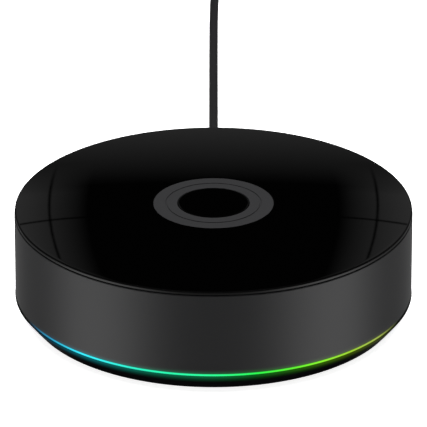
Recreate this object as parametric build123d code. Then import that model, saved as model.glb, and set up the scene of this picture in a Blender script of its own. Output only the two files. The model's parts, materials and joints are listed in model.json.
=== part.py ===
"""Streaming media player: a round puck with a glossy top, a glowing slit and a rear port bay.

Millimetres, +Z up. The origin is the middle of the resting face, the front faces -Y and the
ports and the power cord are at +Y. The outer shells are turned about Z.
"""

from build123d import *
from math import cos, hypot, pi, radians, sin, tan
import os

# ---- driving dimensions --------------------------------------------------------------------
BODY_R = 60.0  # outer radius of the matte sleeve
FOOT_PROUD = 0.9  # how far the rubber foot stands out below the base
BODY_H = 32.9  # base's underside to the rim of the glossy cover
DOME_RISE = 1.5  # crown of the cover above its rim
SLIT_DROP = 27.0  # rim of the cover down to the middle of the glowing slit
SLIT_H = 0.6  # height of the glowing slit
WALL = 2.2  # sleeve's wall
FLOOR_T = 2.1  # base's floor
FACE_GAP = 0.25  # shadow gap between cover and sleeve
FIT_GAP = 0.2  # assembly gap between shells that nest
TRAVEL_GAP = 0.3  # gap around a piece that moves
TINY = 0.01  # keeps coincident faces apart
CUT = 1.0  # how far a cutter runs past what it cuts

# ---- heights of the stack ------------------------------------------------------------------
BASE_Z = FOOT_PROUD
RIM_Z = BASE_Z + BODY_H
APEX_Z = RIM_Z + DOME_RISE
SLIT_Z = RIM_Z - SLIT_DROP - SLIT_H / 2
SLEEVE_Z = SLIT_Z + SLIT_H
COVER_EDGE = 1.0  # visible height of the cover's edge
SLEEVE_TOP = RIM_Z - COVER_EDGE - FACE_GAP
COVER_UNDER = RIM_Z - 2.0
FLOOR_TOP = BASE_Z + FLOOR_T
BOARD_Z = 9.4
BOARD_T = 1.6
BOARD_TOP = BOARD_Z + BOARD_T
DOME_R = (BODY_R**2 + DOME_RISE**2) / (2 * DOME_RISE)

# ---- base, foot and light ------------------------------------------------------------------
BASE_TOP_R = BODY_R + 0.1
BASE_BOTTOM_R = 55.75
BOWL_BULGE = 0.05
BASE_EDGE = 0.3
FOOT_R = (47.5, 54.0)
FOOT_DEEP = 0.5
FOOT_GAP = 0.1
BASE_INNER_R = 56.2
LED_LEDGE_R = 54.6
LED_BOARD_Z = 4.2
LED_BOARD_T = 1.0
LED_BOARD_R = (48.6, 55.9)
LED_COUNT = 24
LED_SIZE = (1.8, 2.0, 1.2)
LED_OUT_R = 55.2
LIGHT_OUT_R = BODY_R - 0.25
LIGHT_IN_R = (55.7, 57.6)
LIGHT_TOP = 8.6
LIGHT_LOW = 5.4
VENT_R = (14.0, 31.0)
VENT_W = 2.0
VENT_COUNT = 24

# ---- sleeve, cover and their fastenings ----------------------------------------------------
SLEEVE_IN_R = BODY_R - WALL
LEDGE_IN_R = 55.5
LEDGE_Z = (26.8, 28.0)
COVER_R = BODY_R - 0.15
COVER_BEVEL = 0.35
SKIRT_R = (56.1, 57.5)
SNAP_R = (53.9, 55.2)
SNAP_LOW = 25.2
SNAP_BARB = (25.4, 26.6)
SNAP_BARB_R = 56.4
SNAP_ARC = 14.0
SNAP_ANGLES = (20, 160, 210, 250, 290, 330)
BOSS_R = 51.5
BOSS_ANGLES = (45, 135, 225, 315)
BOSS_TOP = 18.0
BOSS_OUT = 3.0
RIB_LOW = 9.0
RIB_T = 2.0
POST_OUT = 3.2

# ---- screws: head radius, head height, shank radius -----------------------------------------
CASE_SCREW = (2.2, 1.4, 1.0)
BOARD_SCREW = (1.9, 1.3, 0.9)
SMALL_SCREW = (1.6, 1.1, 0.7)
SCREW_GAP = 0.05
TIP_ROOM = 0.4
SLOT_LENGTH = 2.4
SLOT_WIDTH = 0.4
HOLE_GAP = 0.25
CASE_SCREW_L = 9.0
CASE_SEAT = FLOOR_TOP + 0.2
BOARD_SCREW_L = 5.6
SMALL_SCREW_L = 4.0

# ---- top button ----------------------------------------------------------------------------
RING_OUT_R = 18.1
RING_FIT = 0.05
CAP_R = 10.6
RING_T = 1.9
RING_GROOVE = (14.0, 14.5, 0.25)
CAP_FLANGE_R = 12.4
CAP_FLANGE_T = 0.9
COVER_HOLE_R = 11.4
CAP_T = 3.2
BUTTON_TRAVEL = 0.6
STEM_R = 2.2
SWITCH_BODY = 6.0
SWITCH_H = 3.5
PLUNGER_R = 1.65
PLUNGER_GAP = 0.08
PLUNGER_OUT = 1.4
PLUNGER_IN = 0.9
BUTTON_BOARD_R = 20.5
BUTTON_BOARD_Z = 23.0
BUTTON_BOARD_T = 1.0
BUTTON_BOSS_R = 17.0
BUTTON_BOSS_OUT = 2.8
BUTTON_BOSS_ANGLES = (90, 210, 330)
BOSS_HOLE_DEEP = 4.5

# ---- main board and what stands on it --------------------------------------------------------
BOARD_R = 47.5
BOARD_TAB = (29.0, 46.6)
STANDOFFS = ((-33.0, -24.0), (33.0, -24.0), (-34.0, 16.0), (34.0, 16.0))
STANDOFF_OUT = 2.6
CHIP_Y = -12.0
SOC = (15.0, 1.2)
PAD = (14.0, 1.0)
SHIELD = (42.0, 24.0, 2.0)
SHIELD_WINDOW = 17.0
SHEET_T = 0.3
RAM = (8.0, 12.0, 1.0)
RAM_X = 15.2
SINK = (56.0, 40.0)
SINK_BASE = (14.2, 16.2)
SINK_TOP = 20.2
FIN_COUNT = 12
FIN_T = 1.2
SINK_LEG = (24.0, 16.0, 2.3)
FLASH = (11.5, 13.0, 1.0)
FLASH_AT = (-10.0, 24.0)
POWER_CHIP = (5.0, 5.0, 0.9)
POWER_CHIP_AT = (3.0, 28.0)
INDUCTOR = (5.0, 5.0, 3.0)
INDUCTORS_AT = ((3.0, 21.0), (3.0, 35.0), (-5.0, 35.0))
CAPACITOR = (3.1, 5.5)
CAPACITORS_AT = ((-34.0, -6.0), (-34.0, 3.0), (34.0, -6.0), (34.0, 3.0))
MAGNETICS = (16.0, 9.0, 5.0)
MAGNETICS_AT = (20.0, 24.5)
RADIO = (15.0, 13.0, 2.2)
RADIO_AT = (-27.0, 25.5)

# ---- port bay: width, height and depth of each socket's shell ----------------------------------
WINDOW_X = 30.0
WINDOW_Z = (8.6, 25.6)
WINDOW_CORNER = 2.0
PANEL_Y = (47.0, 48.5)
PANEL_Z = (7.4, 26.6)
PANEL_X = 31.0
PORT_Y = 48.3
PORT_GAP = 0.2
VIDEO_X = -19.0
VIDEO = (15.0, 5.9, 11.3)
VIDEO_WALL = 0.5
VIDEO_TAPER = 1.4
VIDEO_BACK = 1.5
VIDEO_TONGUE = (5.6, 0.7, 1.6)
NETWORK_X = 20.0
NETWORK = (16.0, 13.5, 16.5)
# Cavity steps from the mouth down to the latch notch: half width, low and high.
NETWORK_CAVITY = ((6.0, 3.6, 11.4), (3.2, 2.2, 3.7), (1.7, 1.0, 2.3))
NETWORK_DEEP = 13.0
CONTACT_RUN = (12.8, 3.0, 1.5)
CONTACT_T = 0.4
CONTACT_PITCH = 1.02
CONTACT_COUNT = 8
INLET = (9.0, 3.26, 7.3)
INLET_CAVITY = (8.4, 2.6)
INLET_BACK = 0.6
POWER_TONGUE = (3.3, 0.35, 0.7)
RESET_X = 8.7
RESET_Z = 13.2
RESET_R = 1.35
RESET_TRAVEL = 0.4
RESET_PROUD = 0.4
RESET_BACK = 44.0
RESET_FLANGE = (2.05, 0.8)
RESET_SWITCH_Y = (39.6, 42.4)
RESET_NUB = (0.7, 1.0)
RESET_SWITCH = (4.5, 3.8)

# ---- free cord -----------------------------------------------------------------------------
CORD_D = 2.9
CORD_R = CORD_D / 2
ARC_SHARE = 0.45  # how much of a run each end's arc may take
INLET_Z = BOARD_TOP + INLET[1] / 2
PLUG = (11.6, 6.2, 17.0)
PLUG_Y = PANEL_Y[1] + 0.4
PLUG_SHELL = (8.25, 2.4, 6.4)
PLUG_CHAMFER = 0.6
NOSE_T = 0.35
NOSE_FLOOR = 0.5
RELIEF_L = 12.1
RELIEF_R = (2.9, 1.85)
RELIEF_RIBS = 6
RIB_SHARE = 0.6
RIB_DRAFT = 0.08
RIB_DEEP = 0.6
EXIT_Y = PLUG_Y + PLUG[2] + RELIEF_L
# From the relief down to the surface, then straight back, then into the coil.
CORD_ROUTE = (
    (0.0, EXIT_Y, INLET_Z),
    (0.0, 88.5, INLET_Z),
    (0.7, 103.5, 7.2),
    (0.0, 127.0, CORD_R),
    (0.0, 252.0, CORD_R),
    (2.2, 264.5, 1.8),
)
TIE_T = 0.6
TIE_W = 5.0
COIL_R = 16.0
COIL_CENTRE = (-16.2, 269.1)
COIL_LOW = TIE_T
COIL_HIGH = TIE_T + 4 * CORD_D
COIL_HALF = 1.5 * CORD_D
COIL_EDGE = 1.16
TAIL_Y = 286.6
USB_Z = 3.9
TAIL_ROUTE = (
    (-18.0, 288.0, 10.6),
    (-28.0, 288.4, 9.6),
    (-38.0, 287.2, 5.6),
    (-47.0, TAIL_Y, USB_Z),
    (-54.0, TAIL_Y, USB_Z),
)
USB_RELIEF_L = 7.0
USB_BODY = (22.0, 15.6, 7.8)
USB_ROUND = 1.6
USB_CHAMFER = 0.5
USB_SHELL = (12.0, 12.0, 4.5)
USB_TONGUE = (11.0, 11.0, 1.9)

# ---- inner cables ----------------------------------------------------------------------------
RIBBON_W = 8.0
RIBBON_T = 0.3
RIBBON_BEND = 1.2
CONNECTOR = (10.0, 3.5, 1.4)
SLIM_CONNECTOR_W = 3.0
MAIN_CONNECTOR_Y = -39.5
UNDER_CONNECTOR_Y = -42.0
LED_CONNECTOR_Y = -51.6
BUTTON_CONNECTOR_Y = -15.0
RIBBON_DROP_Y = -34.8
LED_RIBBON_BENDS = (-48.0, -46.0)
COAX_R = 0.6
COAX_BEND = 3.0
# Runs of the two aerial leads after they leave the radio module, and where each ends.
COAX_LEFT = ((-36.0, 18.5, 14.8), (-49.0, 12.0, 16.0))
COAX_RIGHT = ((-14.0, 14.5, 16.6), (26.0, 13.5, 17.0), (45.0, 9.0, 17.5))
COAX_START = ((-3.0, -3.0), (3.0, -2.0))
COAX_END = (2.0, 18.0)
ANTENNA_R = (57.1, 57.5)
ANTENNA_Z = (12.0, 24.0)
ANTENNA_ARC = 28.0


# ---- small shapes ----------------------------------------------------------------------------
def block(x_span, y_span, z_span):
    """A box between two X, two Y and two Z values."""
    spans = (x_span, y_span, z_span)
    middle = [(low + high) / 2 for low, high in spans]
    return Pos(*middle) * Box(*[high - low for low, high in spans])


def standing(size, at, z_low):
    """A box of size (x, y, z) that stands at height z_low on the spot at."""
    return Pos(at[0], at[1], z_low + size[2] / 2) * Box(*size)


def rod(radius, z_low, z_high, at=(0.0, 0.0)):
    """An upright cylinder."""
    return Pos(at[0], at[1], (z_low + z_high) / 2) * Cylinder(radius, z_high - z_low)


def hoop(r_in, r_out, z_low, z_high, at=(0.0, 0.0)):
    """An upright tube."""
    return rod(r_out, z_low, z_high, at) - rod(r_in, z_low - CUT, z_high + CUT, at)


def turned(points):
    """A solid turned about Z from an outline of (radius, height) corners."""
    return revolve(Plane.XZ * make_face(Polyline(*points, close=True)), Axis.Z)


def curved_block(r_in, r_out, z_low, z_high, middle, width):
    """A piece of a ring, width degrees long, about the direction middle."""
    outline = Polyline((r_in, z_low), (r_out, z_low), (r_out, z_high), (r_in, z_high), close=True)
    piece = revolve(Plane.XZ * make_face(outline), Axis.Z, revolution_arc=width)
    return Rot(0, 0, middle - width / 2) * piece


def polar(radius, angle):
    """The point at a radius and an angle in degrees from +X."""
    return (radius * cos(radians(angle)), radius * sin(radians(angle)))


def pill_along_y(width, height, y_low, y_high, centre):
    """A bar along Y with a rounded-end section, centred on (x, z)."""
    section = RectangleRounded(width, height, height / 2 - TINY)
    bar = extrude(Plane.XZ * section, y_low - y_high)
    return Pos(centre[0], y_low, centre[1]) * bar


def under_dome(solid, drop=0.0):
    """The part of a solid below the cover's crowned surface, lowered by drop."""
    return solid & (Pos(0, 0, APEX_Z - drop - DOME_R) * Sphere(DOME_R))


def screw(kind, length, at, seat, points_down):
    """A cross-head screw whose head rests on the height seat."""
    head_r, head_h, shank_r = kind
    sign = -1 if points_down else 1
    far = seat - sign * head_h
    head = rod(head_r, min(seat, far), max(seat, far), at)
    slot_depth = head_h / 2
    bar = (SLOT_LENGTH * shank_r, SLOT_WIDTH * shank_r, slot_depth)
    slot_low = far - slot_depth if points_down else far
    cross = standing(bar, at, slot_low) + standing((bar[1], bar[0], bar[2]), at, slot_low)
    tip = seat + sign * length
    return head - cross + rod(shank_r, min(seat, tip), max(seat, tip), at)


def group(solids):
    """Separate identical solids kept together as one node."""
    return Compound(children=[piece for solid in solids for piece in solid.solids()])


def circles_at(solid, radius, height):
    """The solid's round edges of one radius at one height."""
    rounds = solid.edges().filter_by(GeomType.CIRCLE)
    return [
        edge
        for edge in rounds
        if abs(edge.radius - radius) < TINY and abs(edge.arc_center.Z - height) < TINY
    ]


# ---- outer shells ------------------------------------------------------------------------------
def base_tray():
    """Bowl-shaped base with foot groove, vents, screw posts and board standoffs."""
    top = (BASE_TOP_R, SLIT_Z - BASE_EDGE)
    bottom = (BASE_BOTTOM_R, BASE_Z)
    lean = hypot(top[0] - bottom[0], top[1] - bottom[1])
    bulge = (
        (top[0] + bottom[0]) / 2 + BOWL_BULGE * (top[1] - bottom[1]) / lean,
        (top[1] + bottom[1]) / 2 - BOWL_BULGE * (top[0] - bottom[0]) / lean,
    )
    inside = Polyline(
        top,
        (BASE_TOP_R - BASE_EDGE, SLIT_Z),
        (BASE_INNER_R, SLIT_Z),
        (BASE_INNER_R, LED_BOARD_Z),
        (LED_LEDGE_R, LED_BOARD_Z),
        (LED_LEDGE_R, FLOOR_TOP),
        (0, FLOOR_TOP),
        (0, BASE_Z),
        bottom,
    )
    outline = inside + ThreePointArc(bottom, bulge, top)
    tray = revolve(Plane.XZ * make_face(outline), Axis.Z)
    tray -= hoop(FOOT_R[0] - FOOT_GAP, FOOT_R[1] + FOOT_GAP, BASE_Z - CUT, BASE_Z + FOOT_DEEP)
    vent = block(VENT_R, (-VENT_W / 2, VENT_W / 2), (BASE_Z - CUT, FLOOR_TOP + CUT))
    for index in range(VENT_COUNT):
        tray -= Rot(0, 0, index * 360 / VENT_COUNT) * vent
    for angle in BOSS_ANGLES:
        at = polar(BOSS_R, angle)
        tray += rod(POST_OUT, FLOOR_TOP - CUT, SLEEVE_Z, at)
        tray -= rod(CASE_SCREW[2] + HOLE_GAP, BASE_Z, SLEEVE_Z + CUT, at)
        tray -= rod(CASE_SCREW[0] + HOLE_GAP, BASE_Z, CASE_SEAT, at)
    for at in STANDOFFS:
        tray += rod(STANDOFF_OUT, FLOOR_TOP - CUT, BOARD_Z, at)
        hole_low = BOARD_TOP - BOARD_SCREW_L - TIP_ROOM
        tray -= rod(BOARD_SCREW[2] + SCREW_GAP, hole_low, BOARD_Z + CUT, at)
    return tray


def foot_ring():
    """Flat rubber ring in the base's groove; it covers the case screws."""
    return hoop(FOOT_R[0], FOOT_R[1], 0, BASE_Z + FOOT_DEEP)


def light_ring():
    """Clear light guide: a collar inside, with a lip that shows in the slit."""
    inner, outer = LIGHT_IN_R
    neck = BASE_INNER_R - FIT_GAP
    return turned(
        (
            (LIGHT_OUT_R, SLIT_Z),
            (LIGHT_OUT_R, SLEEVE_Z),
            (outer, SLEEVE_Z),
            (outer, LIGHT_TOP),
            (inner, LIGHT_TOP),
            (inner, LIGHT_LOW),
            (neck, LIGHT_LOW),
            (neck, SLIT_Z),
        )
    )


def port_window():
    """The cutter for the rear window in the sleeve."""
    height = WINDOW_Z[1] - WINDOW_Z[0]
    section = RectangleRounded(2 * WINDOW_X, height, WINDOW_CORNER)
    cutter = extrude(Plane.XZ * section, -BODY_R)
    return Pos(0, LED_BOARD_R[0] / 2, (WINDOW_Z[0] + WINDOW_Z[1]) / 2) * cutter


def outer_sleeve():
    """Matte tube with an inner ledge for the cover, screw bosses and the rear window."""
    sleeve = turned(
        (
            (SLEEVE_IN_R, SLEEVE_Z),
            (BODY_R, SLEEVE_Z),
            (BODY_R, SLEEVE_TOP),
            (SLEEVE_IN_R, SLEEVE_TOP),
            (SLEEVE_IN_R, LEDGE_Z[1]),
            (LEDGE_IN_R, LEDGE_Z[1]),
            (LEDGE_IN_R, LEDGE_Z[0]),
            (SLEEVE_IN_R, LEDGE_Z[0]),
        )
    )
    edges = circles_at(sleeve, BODY_R, SLEEVE_TOP) + circles_at(sleeve, BODY_R, SLEEVE_Z)
    sleeve = fillet(edges, COVER_BEVEL)
    for angle in BOSS_ANGLES:
        rib = block((BOSS_R, SLEEVE_IN_R + WALL / 2), (-RIB_T / 2, RIB_T / 2), (RIB_LOW, BOSS_TOP))
        sleeve += Rot(0, 0, angle) * rib
        at = polar(BOSS_R, angle)
        sleeve += rod(BOSS_OUT, SLEEVE_Z, BOSS_TOP, at)
        hole_top = CASE_SEAT + CASE_SCREW_L + TIP_ROOM
        sleeve -= rod(CASE_SCREW[2] + SCREW_GAP, SLEEVE_Z - CUT, hole_top, at)
    return sleeve - port_window()


def top_cover():
    """Glossy crowned cover with a skirt, snap tongues, ring recess and button bosses."""
    inner, outer = SKIRT_R
    cover = turned(
        (
            (0, COVER_UNDER),
            (inner, COVER_UNDER),
            (inner, LEDGE_Z[1]),
            (outer, LEDGE_Z[1]),
            (outer, RIM_Z - COVER_EDGE),
            (COVER_R, RIM_Z - COVER_EDGE),
            (COVER_R, RIM_Z - COVER_BEVEL),
            (COVER_R - COVER_BEVEL, RIM_Z),
            (COVER_R - COVER_BEVEL, APEX_Z + CUT),
            (0, APEX_Z + CUT),
        )
    )
    cover = under_dome(cover)
    cover -= rod(RING_OUT_R + RING_FIT, APEX_Z - RING_T, APEX_Z + CUT)
    cover -= rod(COVER_HOLE_R, COVER_UNDER - CUT, APEX_Z)
    for angle in SNAP_ANGLES:
        low, high = SNAP_BARB
        cover += curved_block(*SNAP_R, SNAP_LOW, COVER_UNDER + CUT, angle, SNAP_ARC)
        cover += curved_block(SNAP_R[0], SNAP_BARB_R, low, high, angle, SNAP_ARC)
    for angle in BUTTON_BOSS_ANGLES:
        at = polar(BUTTON_BOSS_R, angle)
        floor = BUTTON_BOARD_Z + BUTTON_BOARD_T
        cover += rod(BUTTON_BOSS_OUT, floor, COVER_UNDER + CUT, at)
        cover -= rod(SMALL_SCREW[2] + SCREW_GAP, floor - CUT, floor + BOSS_HOLE_DEEP, at)
    return cover


# ---- top button --------------------------------------------------------------------------------
def button_ring():
    """Matte ring let into the cover, with one fine groove, around the button."""
    low = APEX_Z - RING_T
    high = APEX_Z + CUT
    ring = under_dome(hoop(CAP_R + TRAVEL_GAP, RING_OUT_R, low, high))
    groove_in, groove_out, depth = RING_GROOVE
    kept = under_dome(rod(RING_OUT_R + CUT, low, high), depth)
    return ring - (hoop(groove_in, groove_out, low, high) - kept)


def button_cap():
    """Glossy push cap with a retaining flange and a stem above the switch."""
    low = APEX_Z - CAP_T
    cap = under_dome(rod(CAP_R, low, APEX_Z + CUT))
    flange_top = COVER_UNDER - TRAVEL_GAP
    cap += rod(CAP_R, flange_top - CAP_FLANGE_T, low)
    cap += rod(CAP_FLANGE_R, flange_top - CAP_FLANGE_T, flange_top)
    return cap + rod(STEM_R, switch_top() + PLUNGER_OUT, low)


def switch_top():
    """Height of the top of the button's switch body."""
    return BUTTON_BOARD_Z + BUTTON_BOARD_T + SWITCH_H


def tact_switch():
    """Square push switch under the cap, with the well its plunger sinks into."""
    floor = BUTTON_BOARD_Z + BUTTON_BOARD_T
    body = standing((SWITCH_BODY, SWITCH_BODY, SWITCH_H), (0, 0), floor)
    well = switch_top() - PLUNGER_IN - BUTTON_TRAVEL - TRAVEL_GAP
    return body - rod(PLUNGER_R + PLUNGER_GAP, well, switch_top() + CUT)


def switch_plunger():
    """The switch's plunger, which the cap's stem rests on."""
    return rod(PLUNGER_R, switch_top() - PLUNGER_IN, switch_top() + PLUNGER_OUT)


def button_board():
    """Small round board that carries the switch, hung under the cover."""
    board = rod(BUTTON_BOARD_R, BUTTON_BOARD_Z, BUTTON_BOARD_Z + BUTTON_BOARD_T)
    for angle in BUTTON_BOSS_ANGLES:
        at = polar(BUTTON_BOSS_R, angle)
        board -= rod(SMALL_SCREW[2] + HOLE_GAP, BUTTON_BOARD_Z - CUT, BUTTON_BOARD_Z + 2 * CUT, at)
    return board


# ---- boards, chips and cooling -------------------------------------------------------------------
def main_board():
    """Round main board with a square tab that reaches back to the sockets."""
    half, back = BOARD_TAB
    board = rod(BOARD_R, BOARD_Z, BOARD_TOP)
    board -= block((-BOARD_R, BOARD_R), (back, BOARD_R + CUT), (0, APEX_Z))
    board += block((-half, half), (0, back), (BOARD_Z, BOARD_TOP))
    for at in STANDOFFS:
        board -= rod(BOARD_SCREW[2] + HOLE_GAP, BOARD_Z - CUT, BOARD_TOP + CUT, at)
    for at in sink_legs():
        board -= rod(SMALL_SCREW[2] + HOLE_GAP, BOARD_Z - CUT, BOARD_TOP + CUT, at)
    return board


def led_board():
    """Flat ring board under the light guide, notched around the screw posts."""
    top = LED_BOARD_Z + LED_BOARD_T
    board = hoop(*LED_BOARD_R, LED_BOARD_Z, top)
    for angle in BOSS_ANGLES:
        board -= rod(POST_OUT + FIT_GAP, LED_BOARD_Z - CUT, top + CUT, polar(BOSS_R, angle))
    return board


def leds():
    """Side-firing lamps around the board, pointing out into the light guide."""
    depth, width, height = LED_SIZE
    top = LED_BOARD_Z + LED_BOARD_T
    lamp = block((LED_OUT_R - depth, LED_OUT_R), (-width / 2, width / 2), (top, top + height))
    step = 360 / LED_COUNT
    return group(Rot(0, 0, (index + 0.5) * step) * lamp for index in range(LED_COUNT))


def soc_shield():
    """Folded sheet can over the processor and memory, open over the processor."""
    length, width, height = SHIELD
    can = standing(SHIELD, (0, CHIP_Y), BOARD_TOP)
    hollow = (length - 2 * SHEET_T, width - 2 * SHEET_T, height)
    can -= standing(hollow, (0, CHIP_Y), BOARD_TOP - SHEET_T)
    return can - standing((SHIELD_WINDOW, SHIELD_WINDOW, 2 * height), (0, CHIP_Y), BOARD_TOP)


def sink_legs():
    """Where the heatsink's four legs stand on the board."""
    x, y, _ = SINK_LEG
    return [(side * x, CHIP_Y + end * y) for side in (-1, 1) for end in (-1, 1)]


def heatsink():
    """Cast heatsink: a plate with a pedestal, fins along Y and four legs."""
    length, width = SINK
    low, high = SINK_BASE
    sink = standing((length, width, high - low), (0, CHIP_Y), low)
    pedestal_low = BOARD_TOP + SOC[1] + PAD[1]
    sink += standing((SOC[0], SOC[0], low - pedestal_low + CUT), (0, CHIP_Y), pedestal_low)
    pitch = (length - FIN_T) / (FIN_COUNT - 1)
    for index in range(FIN_COUNT):
        x = -length / 2 + FIN_T / 2 + index * pitch
        sink += standing((FIN_T, width, SINK_TOP - high + CUT), (x, CHIP_Y), high - CUT)
    for at in sink_legs():
        sink += rod(SINK_LEG[2], BOARD_TOP, low + CUT, at)
        sink -= rod(SMALL_SCREW[2] + SCREW_GAP, BOARD_TOP - CUT, low + CUT, at)
    return sink


def connectors():
    """Flat-cable connectors: on the main board, under it, on the LED and button boards."""
    height = CONNECTOR[2]
    slim = (RIBBON_W, SLIM_CONNECTOR_W, height)
    return group(
        (
            standing(CONNECTOR, (0, MAIN_CONNECTOR_Y), BOARD_TOP),
            standing(slim, (0, UNDER_CONNECTOR_Y), BOARD_Z - height),
            standing(slim, (0, LED_CONNECTOR_Y), LED_BOARD_Z + LED_BOARD_T),
            standing(CONNECTOR, (0, BUTTON_CONNECTOR_Y), BUTTON_BOARD_Z - height),
        )
    )


def ribbon(points):
    """Flat cable: a thin strip along a route of (y, z) corners."""
    route = FilletPolyline(*points, radius=RIBBON_BEND)
    return extrude(Plane.YZ * trace(route, RIBBON_T), RIBBON_W / 2, both=True)


def button_cable():
    """Flat cable from the button board down past the heatsink to the main board."""
    start = BUTTON_CONNECTOR_Y - CONNECTOR[1] / 2
    end = MAIN_CONNECTOR_Y + CONNECTOR[1] / 2
    high = BUTTON_BOARD_Z - CONNECTOR[2] / 2
    low = BOARD_TOP + CONNECTOR[2] / 2
    return ribbon(((start, high), (RIBBON_DROP_Y, high), (RIBBON_DROP_Y, low), (end, low)))


def led_cable():
    """Flat cable from the LED board in under the main board."""
    low = LED_BOARD_Z + LED_BOARD_T + CONNECTOR[2] / 2
    high = BOARD_Z - CONNECTOR[2] / 2
    start = LED_CONNECTOR_Y + SLIM_CONNECTOR_W / 2
    end = UNDER_CONNECTOR_Y - SLIM_CONNECTOR_W / 2
    first, second = LED_RIBBON_BENDS
    return ribbon(((start, low), (first, low), (second, high), (end, high)))


def antennas():
    """Two printed aerials on the inside of the sleeve, left and right."""
    sides = (0, 180)
    return group(curved_block(*ANTENNA_R, *ANTENNA_Z, angle, ANTENNA_ARC) for angle in sides)


def bent_wire(points, radius, bend):
    """A round wire along straight runs joined by tangent arcs."""
    path = FilletPolyline(*points, radius=bend)
    start = Plane(origin=path @ 0, z_dir=path % 0)
    return sweep(start * Circle(radius), path)


def antenna_cables():
    """Thin coaxial leads from the radio module to both aerials."""
    x, y = RADIO_AT
    top = BOARD_TOP + RADIO[2] + COAX_R
    reach = ANTENNA_R[0] - 1.5 * COAX_R
    starts = [(x + step[0], y + step[1], top) for step in COAX_START]
    left = (starts[0], *COAX_LEFT, (-reach, *COAX_END))
    right = (starts[1], *COAX_RIGHT, (reach, *COAX_END))
    return group(bent_wire(route, COAX_R, COAX_BEND) for route in (left, right))


# ---- port bay ------------------------------------------------------------------------------------
def port_panel():
    """Flat recessed panel with a shelf above and below, cut for the sockets."""
    y_low, y_high = PANEL_Y
    z_low, z_high = PANEL_Z
    panel = block((-PANEL_X, PANEL_X), (y_low, BODY_R), PANEL_Z)
    panel -= block((-PANEL_X - CUT, PANEL_X + CUT), (y_high, BODY_R + CUT), WINDOW_Z)
    low_r = LIGHT_IN_R[0] - TRAVEL_GAP
    split = LIGHT_TOP + TRAVEL_GAP
    panel &= rod(SLEEVE_IN_R - FIT_GAP, split, z_high) + rod(low_r, z_low, split)
    gap = 2 * PORT_GAP
    through = (y_low - CUT, y_high + CUT)
    for x, size in ((VIDEO_X, VIDEO), (NETWORK_X, NETWORK)):
        half = size[0] / 2 + PORT_GAP
        heights = (BOARD_TOP - PORT_GAP, BOARD_TOP + size[1] + PORT_GAP)
        panel -= block((x - half, x + half), through, heights)
    panel -= pill_along_y(INLET[0] + gap, INLET[1] + gap, *through, (0, INLET_Z))
    return panel - along_y(RESET_R + HOLE_GAP, *through, (RESET_X, RESET_Z))


def along_y(radius, y_low, y_high, centre):
    """A round bar along Y, centred on (x, z)."""
    bar = extrude(Plane.XZ * Circle(radius), y_low - y_high)
    return Pos(centre[0], y_low, centre[1]) * bar


def video_socket():
    """Folded metal shell of the video socket, open at the rear."""
    width, height, depth = VIDEO
    back = PORT_Y - depth
    shell = standing((width, depth, height), (VIDEO_X, PORT_Y - depth / 2), BOARD_TOP)
    half = width / 2 - VIDEO_WALL
    low = BOARD_TOP + 2 * VIDEO_WALL
    high = BOARD_TOP + height - VIDEO_WALL
    shoulder = low + height / 4
    foot = half - VIDEO_TAPER
    left = ((-half, high), (-half, shoulder), (-foot, low))
    right = ((foot, low), (half, shoulder), (half, high))
    cavity = extrude(Plane.XZ * make_face(Polyline(*left, *right, close=True)), -depth)
    return shell - Pos(VIDEO_X, back + VIDEO_BACK, 0) * cavity


def video_tongue():
    """Contact tongue inside the video socket."""
    half, half_t, inset = VIDEO_TONGUE
    low = BOARD_TOP + VIDEO[1] / 2 - half_t / 2
    span = (PORT_Y - VIDEO[2] + VIDEO_BACK, PORT_Y - inset)
    return block((VIDEO_X - half, VIDEO_X + half), span, (low, low + 2 * half_t))


def power_socket():
    """Rounded metal shell of the power inlet, closed at the back."""
    width, height, depth = INLET
    shell = pill_along_y(width, height, PORT_Y - depth, PORT_Y, (0, INLET_Z))
    back = PORT_Y - depth + INLET_BACK
    return shell - pill_along_y(*INLET_CAVITY, back, PORT_Y + CUT, (0, INLET_Z))


def power_tongue():
    """Contact tongue inside the power inlet."""
    half, half_t, inset = POWER_TONGUE
    span = (PORT_Y - INLET[2] + INLET_BACK, PORT_Y - inset)
    return block((-half, half), span, (INLET_Z - half_t, INLET_Z + half_t))


def network_socket():
    """Shielded network socket with its stepped cavity and latch notch."""
    width, height, depth = NETWORK
    body = standing((width, depth, height), (NETWORK_X, PORT_Y - depth / 2), BOARD_TOP)
    deep = (PORT_Y - NETWORK_DEEP, PORT_Y + CUT)
    for half, low, high in NETWORK_CAVITY:
        body -= block((NETWORK_X - half, NETWORK_X + half), deep, (BOARD_TOP + low, BOARD_TOP + high))
    return body


def network_contacts():
    """Eight spring contacts along the roof of the network socket's cavity."""
    roof = BOARD_TOP + NETWORK_CAVITY[0][2]
    back, front, drop = CONTACT_RUN
    rear = ((PORT_Y - back, roof - drop), (PORT_Y - back, roof - drop + CONTACT_T))
    tip = ((PORT_Y - front, roof), (PORT_Y - front, roof - CONTACT_T))
    wire = extrude(Plane.YZ * make_face(Polyline(*rear, *tip, close=True)), CONTACT_T / 2, both=True)
    middle = (CONTACT_COUNT - 1) / 2
    spots = [NETWORK_X + (index - middle) * CONTACT_PITCH for index in range(CONTACT_COUNT)]
    return group(Pos(x, 0, 0) * wire for x in spots)


def reset_button():
    """Rear push button with a flange behind the panel."""
    flange_r, flange_t = RESET_FLANGE
    front = PANEL_Y[0] - TRAVEL_GAP
    button = along_y(RESET_R, RESET_BACK, PANEL_Y[1] + RESET_PROUD, (RESET_X, RESET_Z))
    return button + along_y(flange_r, front - flange_t, front, (RESET_X, RESET_Z))


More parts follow.
